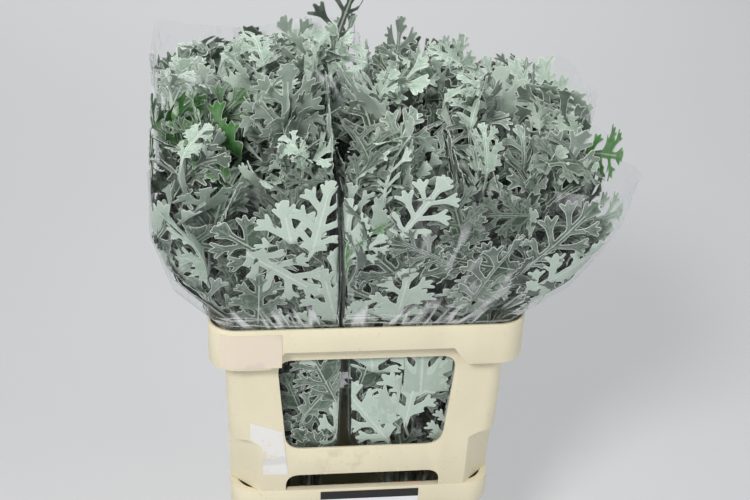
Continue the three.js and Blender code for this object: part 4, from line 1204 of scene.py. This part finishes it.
class FoliageSettings(bpy.types.PropertyGroup):
    """Number and colours of the leaves."""

    spacing: length_setting("Spacing", "Space between leaves of the crown", 0.044, 0.025, 0.2)
    bare_share: share_setting("Bare leaves", "Share of leaves with little felt", 0.012)
    thickness: length_setting("Blade", "Thickness of a blade", 0.0006, 0.0003, 0.002)
    # The darkest colours paint shade on leaves deep in the foliage: the darkest underside is only
    # painted shade, the darkest upper side is a real dark green darkened further as painted shade.
    upper_dark_and_painted_shade: colour_setting("Upper side, dark", "Darkest upper sides", (0.028, 0.062, 0.030))
    upper_light: colour_setting("Upper side, light", "Palest upper sides", (0.36, 0.47, 0.38))
    bright_green: colour_setting("Bare green", "Leaves with little felt", (0.05, 0.17, 0.035))
    under_painted_shade: colour_setting("Underside, dark", "Darkest undersides", (0.045, 0.068, 0.047))
    under_light: colour_setting("Underside, light", "Palest undersides", (0.52, 0.62, 0.535))
    margin: colour_setting("Margin", "White felt along edges and veins", (0.78, 0.84, 0.78))


class FilmSettings(bpy.types.PropertyGroup):
    """The clear sleeves."""

    # This haze colour is also the colour of the film's painted highlights.
    tint: colour_setting("Film", "Colour of the film's haze", (0.92, 0.94, 0.96))
    haze: share_setting("Haze", "How milky the film is", 0.004)
    wrinkle: length_setting("Wrinkles", "Depth of the film's folds", 0.0016, 0, 0.01)


class StageSettings(bpy.types.PropertyGroup):
    """Floor and light."""

    floor: colour_setting("Floor", "Colour of the floor and backdrop", (0.555, 0.56, 0.57))
    light: FloatProperty(name="Light", description="Strength of the light", default=1.0, min=0)


# ---- Outlines and rings --------------------------------------------------------------------------


def toward(x, y, reach, degrees):
    """The point at a distance from (x, y) in one direction."""
    turn = math.radians(degrees)
    return np.array([x, y]) + reach * np.array([math.cos(turn), math.sin(turn)])


def evenly(a, b, count):
    return [mix(a, b, i / count) for i in range(1, count)]


def corner_loop(corners, steps, fill, cut=False):
    """Points along four corners (x, y, first direction, radius) and what fill puts between them."""
    loop = []
    for k, (x, y, turn, reach) in enumerate(corners):
        first, last = toward(x, y, reach, turn), toward(x, y, reach, turn + 90)
        if cut:
            loop += [first, *evenly(first, last, steps), last]
        else:
            loop += [toward(x, y, reach, turn + 90 * i / steps) for i in range(steps + 1)]
        nx, ny, nturn, near = corners[(k + 1) % 4]
        loop += fill(k, loop[-1], toward(nx, ny, near, nturn))
    return np.array(loop)


def rounded(size, inset=0.0, cut=0.0, marks=None):
    """A rectangle with round or cut corners, anticlockwise from the front's right end."""
    right, back = size[0] / 2 - inset, size[1] / 2 - inset
    r = cut or max(size[2] - inset, 1.0)
    corners = [(right - r, -back + r, -90, r), (right - r, back - r, 0, r),
               (-right + r, back - r, 90, r), (-right + r, -back + r, 180, r)]

    def fill(k, last, after):
        if marks is None:
            return evenly(last, after, SIDE_STEPS[k % 2])
        axis, hand = 1 - k % 2, 1 if k in (0, 3) else -1
        span = after[axis] - last[axis]
        return [mix(last, after, (hand * stop - last[axis]) / span) for stop in marks[axis]]

    return corner_loop(corners, CORNER_STEPS, fill, bool(cut))


def film_loop(bunch, z, inset):
    """The film's outline at one height, always with the same number of points."""
    s = {key: float(value) for key, value in bunch_section(bunch, float(z)).items()}
    left, right = s["left"] + inset, s["right"] - inset
    front, back = s["front"] + inset, s["back"] - inset
    radii = (s["seam_radius"] - inset, s["radius"] - inset)
    l, r = radii if bunch["right"] else radii[::-1]
    corners = [(right - r, front + r, -90, r), (right - r, back - r, 0, r),
               (left + l, back - l, 90, l), (left + l, front + l, 180, l)]
    return corner_loop(corners, SLEEVE["corner_steps"],
                       lambda _, a, b: evenly(a, b, SLEEVE["side_steps"]))


def loft(rings, capped=False):
    """Rings of points joined one to the next, with end faces or the last joined to the first."""
    count = len(rings[0])
    faces = []
    for level in range(len(rings) - capped):
        low, high = level * count, (level + 1) % len(rings) * count
        for i in range(count):
            j = (i + 1) % count
            faces.append((low + i, low + j, high + j, high + i))
    if capped:
        last = (len(rings) - 1) * count
        faces += [tuple(range(count))[::-1], tuple(range(last, last + count))]
    return np.vstack(rings), faces


def at_height(loop, z):
    return np.column_stack([loop, np.full(len(loop), z)])


def between(a, b, share):
    return tuple(mix(p, q, share) for p, q in zip(a, b))


# ---- Container -----------------------------------------------------------------------------------


def outline_prism(corners, radius, along):
    """A cutter: a four-sided outline with round corners, drawn through the piece."""
    outline = []
    for i, corner in enumerate(corners):
        corner = np.array(corner, float)
        arms = [np.array(corners[k % 4], float) - corner for k in (i - 1, i + 1)]
        a, b = (corner + arm / np.linalg.norm(arm) * radius for arm in arms)
        for t in np.linspace(0, 1, CUTTER["steps"] + 1):
            outline.append((1 - t) ** 2 * a + 2 * t * (1 - t) * corner + t**2 * b)
    rings = [[(u, y, z) if along == "x" else (y, u, z) for u, z in outline]
             for y in (-CUTTER["reach"], CUTTER["reach"])]
    return loft(rings, capped=True)


def cut_through(piece, cutters):
    for points, faces in cutters:
        cutter = new_object("cutter", points, faces, piece.data.materials[0])
        facing_out(cutter)
        cut = piece.modifiers.new("cut", "BOOLEAN")
        cut.operation = "DIFFERENCE"
        cut.solver = "EXACT"
        cut.object = cutter
        apply_modifiers(piece)
        bpy.data.objects.remove(cutter)


def apply_modifiers(piece):
    graph = bpy.context.evaluated_depsgraph_get()
    mesh = bpy.data.meshes.new_from_object(piece.evaluated_get(graph))
    old = piece.data
    piece.modifiers.clear()
    piece.data = mesh
    bpy.data.meshes.remove(old)


def round_edges(piece, radius):
    bevel = piece.modifiers.new("edges", "BEVEL")
    bevel.width = radius
    bevel.segments = 2
    bevel.limit_method = "ANGLE"
    bevel.angle_limit = ROUNDED_ABOVE
    apply_modifiers(piece)
    piece.data.polygons.foreach_set("use_smooth", np.ones(len(piece.data.polygons), bool))
    piece.data.set_sharp_from_angle(angle=SHARP_ABOVE)


def facing_out(piece):
    bm = bmesh.new()
    bm.from_mesh(piece.data)
    bmesh.ops.recalc_face_normals(bm, faces=bm.faces)
    if bm.calc_volume(signed=True) < 0:
        bmesh.ops.reverse_faces(bm, faces=bm.faces)
    bm.to_mesh(piece.data)
    bm.free()


def moulded(node, settings, points, faces, cutters=()):
    """A moulded piece of the container with its openings cut and its edges rounded."""
    material = plastic_material(node + "_plastic", settings)
    piece = new_object(node + "_moulded", points, faces, material)
    facing_out(piece)
    cut_through(piece, cutters)
    round_edges(piece, settings.edge)
    ride(piece, "container_plastic", node)


class DUSTY_OT_bucket(bpy.types.Operator):
    """Make the bucket that holds the water"""

    bl_idname = "dusty.bucket"
    bl_label = "Bucket"

    def execute(self, context):
        b = BUCKET
        height, levels = b["height"], b["levels"]
        low = height - b["band"]

        def wall(z, inset):
            return at_height(rounded(between(b["foot"], b["top"], z / height), inset), z)

        def rim(z, inset=0):
            return at_height(rounded(b["rim"], inset), z)

        rings = [wall(z, 0) for z in (0, *levels, low + 2)]
        rings += [rim(low + 2, WALL), rim(low, WALL), rim(low), rim(low + b["band_middle"]),
                  rim(height)]
        rings += [wall(z, WALL) for z in (height, *levels[::-1], WALL)]
        moulded("bucket", context.scene.dusty_container, *loft(rings, capped=True))
        return {"FINISHED"}


class DUSTY_OT_riser(bpy.types.Operator):
    """Make the riser with its stacking rim, windows and notches"""

    bl_idname = "dusty.riser"
    bl_label = "Riser"

    def execute(self, context):
        r = RISER
        foot_z = BUCKET["height"] + GAP
        top = r["height"] - r["recess"]
        half_x, half_y = SKIRT_HALF["x"], SKIRT_HALF["y"]
        step = r["step"]
        marks = [[-half - step, -half, -half * 0.5, 0, half * 0.5, half, half + step]
                 for half in (half_x, half_y)]

        def wall(height, inset, cut=False):
            size = between(r["foot"], r["top"], height / top)
            chamfer = r["chamfer"] - inset * (2 - math.sqrt(2)) if cut else 0
            return at_height(rounded(size, inset, chamfer, marks), foot_z + height)

        def rim(inset, z):
            return at_height(rounded(r["rim"], inset, marks=marks), z)

        def skirt(inset):
            loop = rounded(r["rim"], inset, marks=marks)
            x, y = np.abs(loop[:, 0]), np.abs(loop[:, 1])
            long_side = y > r["rim"][1] / 2 - inset - 1
            short_side = x > r["rim"][0] / 2 - inset - 1
            share = np.ones(len(loop))
            share[long_side] = np.clip((x[long_side] - half_x) / step, 0, 1)
            share[short_side] = np.clip((y[short_side] - half_y) / step, 0, 1)
            return at_height(loop, RIM_Z - mix(r["skirt_middle"], r["skirt_corner"], share))

        def opening(low, bottom, high, top, cut):
            corners = [(-bottom / 2, low), (bottom / 2, low), (top / 2, high), (-top / 2, high)]
            return outline_prism(corners, cut["radius"], cut["along"])

        facet, middle, floor = r["facet"], r["middle"], RIM_Z - r["recess"]
        slope = facet + r["facet_slope"]
        points, faces = loft([
            wall(0, 0, True), wall(facet, 0, True), wall(slope, 0), wall(middle, 0),
            wall(top - WALL, 0), rim(WALL, floor - WALL), skirt(WALL), skirt(0),
            rim(0, RIM_Z - r["lip"]), rim(0, RIM_Z), rim(WALL, RIM_Z), rim(WALL, floor),
            wall(top, WALL), wall(middle, WALL), wall(slope - 1, WALL),
            wall(facet - 1, WALL, True), wall(0, WALL, True),
        ])
        cutters = [opening(RIM_Z - w["low"], w["bottom"], RIM_Z - w["high"], w["top"], w)
                   for w in WINDOWS]
        below = foot_z - CUTTER["below"]
        cutters += [opening(below, w["width"], foot_z + w["height"], w["width"], w)
                    for w in NOTCHES]
        moulded("riser", context.scene.dusty_container, points, faces, cutters)
        return {"FINISHED"}


class DUSTY_OT_water(bpy.types.Operator):
    """Give the water its finish"""

    bl_idname = "dusty.water"
    bl_label = "Water"

    def execute(self, context):
        n = Nodes("still_water")
        ripple = n.bump(n.noise(30, 2), 0.1, 0.002)
        tint = n.over((0.62, 0.70, 0.62, 1), (0.72, 0.78, 0.70), n.noise(12, 2))
        dress("water", n.solid(Base_Color=tint, Roughness=0.05, Normal=ripple, IOR=1.33,
                               Transmission_Weight=0.85))
        return {"FINISHED"}


class DUSTY_OT_labels(bpy.types.Operator):
    """Give the blank labels and the card their finish"""

    bl_idname = "dusty.labels"
    bl_label = "Labels"

    def execute(self, context):
        white_paper = (0.84, 0.83, 0.80)
        for node, colour in (("label_rim", (0.80, 0.70, 0.57)), ("label_post", white_paper),
                             ("label_side", white_paper)):
            n = Nodes(node + "_paper")
            worn = n.noise(70, 5, n.place(), 0.7)
            base = n.over(rgba(colour), (0.79, 0.72, 0.56), n.step(worn, 0.52, 0.68))
            base = n.over(base, (0.55, 0.52, 0.50), n.step(n.noise(18, 2), 0.55, 0.62), 0.35)
            dress(node, n.solid(Base_Color=base, Roughness=0.62, Normal=n.bump(worn, 0.3, 0.0008)))
        n = Nodes("card_with_head_band")
        height = n.add("SeparateXYZ", Vector=n.place()).outputs[2]
        fibre = n.noise(300, 3)
        white = n.over((0.85, 0.86, 0.88, 1), (0.7, 0.7, 0.72), fibre, 0.1)
        ink = n.over((0.012, 0.012, 0.014, 1), (0.05, 0.05, 0.055), fibre, 0.2)
        dress("card_bucket", n.solid(Base_Color=n.blend(n.step(height, 0.2335, 0.2339), white, ink),
                                     Roughness=0.45, Normal=n.bump(fibre, 0.1, 0.0003)))
        return {"FINISHED"}


class DUSTY_OT_ties(bpy.types.Operator):
    """Give the rubber bands round the stems their finish"""

    bl_idname = "dusty.ties"
    bl_label = "Rubber bands"

    def execute(self, context):
        red = (0.46, 0.035, 0.02)
        n = Nodes("red_rubber")
        base = n.over(rgba(red), shaded(red, 0.75), n.noise(200, 4), 0.4)
        rubber = n.solid(Base_Color=base, Roughness=0.55,
                         Normal=n.bump(n.noise(1600, 2), 0.15, 0.0004))
        for bunch in BUNCHES:
            dress("tie_" + bunch["name"], rubber)
        return {"FINISHED"}


# ---- Foliage and film ----------------------------------------------------------------------------


def stem_tube(bends):
    """Points and triangles of the stem alone, with its bends rounded."""
    heights = [np.linspace(a, b, STEM["steps"])[:-1] for a, b in zip(bends[:-1, 2], bends[1:, 2])]
    heights = np.concatenate([*heights, bends[-1:, 2]])
    path = np.array([stem_point(bends, z) for z in heights])
    path[1:-1] = (path[:-2] + 2 * path[1:-1] + path[2:]) / 4
    share = np.maximum(0, heights - TIE_Z) / (heights[-1] - TIE_Z)
    return tube(path, mix(STEM["foot"], STEM["top"], share))


class DUSTY_OT_leafy_stems(bpy.types.Operator):
    """Make every leafy stem with its cut, felted leaves"""

    bl_idname = "dusty.leafy_stems"
    bl_label = "Leafy stems"

    @staticmethod
    def tones(leaf, bunch):
        """Large leaves that turn their felted underside out are paler."""
        points, _, upward, _ = leaf["stations"]
        out = np.mean(points[:, :2], axis=0) - (bunch["x"], bunch["y"])
        green_out = np.mean(upward[:, :2], axis=0) @ out > 0
        return TONES[bool(green_out != leaf["flip"])]

    def execute(self, context):
        settings = context.scene.dusty_foliage
        material = leaf_material(settings)
        blades = {fine: [blade_template(SEED + first + k, tolerance) for k in range(count)]
                  for fine, (first, count, tolerance) in BLADES.items()}
        for b, bunch in enumerate(BUNCHES):
            stems = [stem_bends(bunch, cell) for cell in cells_of(bunch)]
            by_stem = leaves_by_stem(bunch, b, stems, settings)
            for c, (bends, leaves) in enumerate(zip(stems, by_stem)):
                rng = np.random.default_rng(SEED + SEED_STEPS["blades"] * b + c)
                points, faces = stem_tube(bends)
                count = len(points)
                parts = [(points, faces, np.tile(STEM["data"], (count, 1)), np.ones(count))]
                for leaf in leaves:
                    templates = blades[leaf.get("fine", True)]
                    template = templates[int(rng.integers(len(templates)))]
                    middle = blade_points(template, leaf, bunch, rng)
                    tone = leaf.get("tone", rng.uniform(*self.tones(leaf, bunch)))
                    if rng.random() < settings.bare_share:
                        tone = BARE_TONE
                    p, f, *data = blade_mesh(template, middle, settings.thickness / MM,
                                             leaf["flip"], tone)
                    parts.append((p, f + count, *data))
                    count += len(p)
                points, faces, data, veins = (np.concatenate(part) for part in zip(*parts))
                name = f"{bunch['name']}_{c + 1}"
                piece = new_object("leafy_stem_" + name, points, faces, material, math.radians(50))
                point_data(piece, "leaf_data", "FLOAT_COLOR", "color", data)
                point_data(piece, "leaf_veins", "FLOAT", "value", veins)
                ride(piece, "leaf", "stem_" + name)
        return {"FINISHED"}


class DUSTY_OT_sleeves(bpy.types.Operator):
    """Make the clear film sleeves"""

    bl_idname = "dusty.sleeves"
    bl_label = "Film sleeves"

    @staticmethod
    def ripples(rng, count, turns, lean, least):
        """Sine waves round a sleeve: how many, their phase, lean with height and weight."""
        return [(int(rng.integers(*turns)), rng.uniform(0, 6.28), rng.uniform(*lean),
                 rng.uniform(least, 1)) for _ in range(count)]

    @staticmethod
    def fold(ripples, around, z):
        """0 to 1 round the sleeve at one height."""
        total = sum(weight * np.sin(turns * around + phase + lean * z)
                    for turns, phase, lean, weight in ripples)
        return 0.5 + 0.5 * np.tanh(total)

    def execute(self, context):
        settings = context.scene.dusty_film
        material = film_material(settings)
        depth = settings.wrinkle / MM
        knots, (tuck_z, tuck_width) = SLEEVE["knots"], SLEEVE["puckered"]
        tied, tied_width = SLEEVE["gathered"]
        shallow, deeper = SLEEVE["fold_depth"]
        for b, bunch in enumerate(BUNCHES):
            rng = np.random.default_rng(SEED + SEED_STEPS["film"] + b)
            mouth = bunch["mouth"]
            spans = [np.linspace(low, high, count)[:-1] for low, high, count in SLEEVE["rings"]]
            top = np.linspace(SLEEVE["rings"][-1][1], mouth, SLEEVE["mouth_rings"])
            levels = np.concatenate([*spans, top])
            count = len(film_loop(bunch, mouth, 0))
            turn = np.arange(count) / count
            around = turn * 2 * math.pi
            swell = [SLEEVE["wave"] * math.sin(i % knots * SLEEVE["turn"] + bunch["x"])
                     for i in range(knots + 1)]
            wave = np.interp(turn * knots, np.arange(knots + 1), swell)
            wave = (np.roll(wave, 1) + 2 * wave + np.roll(wave, -1)) / 4
            folds = self.ripples(rng, *SLEEVE["folds"])
            tucks = self.ripples(rng, *SLEEVE["tucks"])
            rings = []
            for inset, heights in ((0.0, levels), (SLEEVE["skin"], levels[::-1])):
                for z in heights:
                    rise = smooth(z, mouth - SLEEVE["wavy"], mouth)
                    tight = (math.exp(-(((z - tuck_z) / tuck_width) ** 2))
                             + smooth(TIE_Z + tied - z, 0, tied_width))
                    amount = depth * self.fold(folds, around, z) * (shallow + deeper * rise)
                    amount += depth * SLEEVE["tuck_depth"] * tight * self.fold(tucks, around, z)
                    loop = film_loop(bunch, z, inset)
                    tangent = np.roll(loop, -1, 0) - np.roll(loop, 1, 0)
                    inward = unit(np.column_stack([-tangent[:, 1], tangent[:, 0]]))
                    rings.append(at_height(loop + inward * amount[:, None], z + wave * rise))
            points, quads = loft(rings)
            quads = np.array(quads)
            tris = np.vstack([quads[:, [0, 1, 2]], quads[:, [0, 2, 3]]])
            piece = new_object("film_sleeve_" + bunch["name"], points, tris, material,
                               math.radians(60))
            circle = np.column_stack([np.cos(around), np.sin(around)]) * 0.1
            up = np.repeat(np.concatenate([levels, levels[::-1]]) * MM, count)
            place = np.column_stack([np.tile(circle, (len(rings), 1)), up])
            point_data(piece, "film_place", "FLOAT_VECTOR", "vector", place)
            piece.visible_diffuse = False  # no specks of light bounced through the film
            ride(piece, "film", "sleeve_" + bunch["name"])
        return {"FINISHED"}


# ---- Stage ---------------------------------------------------------------------------------------


class DUSTY_OT_stage(bpy.types.Operator):
    """Make the floor, the light and the camera"""

    bl_idname = "dusty.stage"
    bl_label = "Stage"

    def execute(self, context):
        scene, settings = context.scene, context.scene.dusty_stage
        self.make_floor(settings)
        world = bpy.data.worlds.new("studio")
        scene.world = world
        world.use_nodes = True
        sky = world.node_tree.nodes["Background"]
        sky.inputs["Color"].default_value = SKY["colour"]
        sky.inputs["Strength"].default_value = SKY["strength"] * settings.light
        for name, place, target, size, power, colour in LAMPS:
            light = bpy.data.lights.new(name, "AREA")
            light.shape = "RECTANGLE" if len(size) == 2 else "DISK"
            light.size, light.size_y = size[0], size[-1]
            light.energy = power * settings.light
            light.color = colour
            lamp = bpy.data.objects.new(name, light)
            lamp.location = place
            aim = Vector(target) - Vector(place)
            lamp.rotation_euler = aim.to_track_quat("-Z", "Y").to_euler()
            scene.collection.objects.link(lamp)

        camera = bpy.data.cameras.new("view")
        camera.lens = CAMERA["lens"]
        camera.sensor_width = CAMERA["sensor"]
        camera.clip_end = CAMERA["far"]
        view = bpy.data.objects.new("view", camera)
        turn = Matrix(CAMERA["turn"]).to_4x4()
        view.matrix_world = Matrix.Translation(Vector(CAMERA["place"])) @ turn
        scene.collection.objects.link(view)
        scene.camera = view
        scene.view_settings.view_transform = "Standard"
        return {"FINISHED"}

    @staticmethod
    def make_floor(settings):
        """A floor that bends up into a wall behind."""
        n = Nodes("studio_floor")
        colour = n.over(rgba(settings.floor), (0.7, 0.7, 0.7), n.noise(0.6, 2), 0.06)
        material = n.solid(Base_Color=colour, Roughness=0.85)
        back, bend, half = FLOOR["back"], FLOOR["bend"], FLOOR["half_width"]
        path = [(y, 0) for y in np.linspace(FLOOR["front"], back, 14)]
        path += [(back + bend * math.sin(a), bend - bend * math.cos(a))
                 for a in np.linspace(0.1, math.pi / 2, 12)]
        path += [(back + bend, z) for z in FLOOR["wall"]]
        points = [(x, y, z) for x in (-half, half) for y, z in path]
        count = len(path)
        faces = [(count + i, count + i + 1, i + 1, i) for i in range(count - 1)]
        floor = new_object("studio_floor", points, faces, material)


OPERATORS = [DUSTY_OT_bucket, DUSTY_OT_riser, DUSTY_OT_water, DUSTY_OT_labels, DUSTY_OT_ties,
             DUSTY_OT_leafy_stems, DUSTY_OT_sleeves, DUSTY_OT_stage]
GROUPS = [("dusty_container", ContainerSettings), ("dusty_foliage", FoliageSettings),
          ("dusty_film", FilmSettings), ("dusty_stage", StageSettings)]


class DUSTY_PT_panel(bpy.types.Panel):
    """The steps and settings in the 3D view's sidebar"""

    bl_idname = "DUSTY_PT_panel"
    bl_label = "Dusty miller"
    bl_space_type = "VIEW_3D"
    bl_region_type = "UI"
    bl_category = "Dusty miller"

    def draw(self, context):
        for attribute, group in GROUPS:
            settings = getattr(context.scene, attribute)
            box = self.layout.box()
            for name in group.__annotations__:
                box.prop(settings, name)
        for operator in OPERATORS:
            self.layout.operator(operator.bl_idname)


def register():
    for _, group in GROUPS:
        bpy.utils.register_class(group)
    for operator in OPERATORS:
        bpy.utils.register_class(operator)
    bpy.utils.register_class(DUSTY_PT_panel)
    for attribute, group in GROUPS:
        setattr(bpy.types.Scene, attribute, PointerProperty(type=group))


def unregister():
    for attribute, _ in GROUPS:
        delattr(bpy.types.Scene, attribute)
    for cls in [DUSTY_PT_panel, *reversed(OPERATORS), *(group for _, group in reversed(GROUPS))]:
        bpy.utils.unregister_class(cls)


def main():
    register()
    for operator in OPERATORS:
        name = operator.bl_idname.split(".")[1]
        getattr(bpy.ops.dusty, name)()


if __name__ == "__main__":
    main()
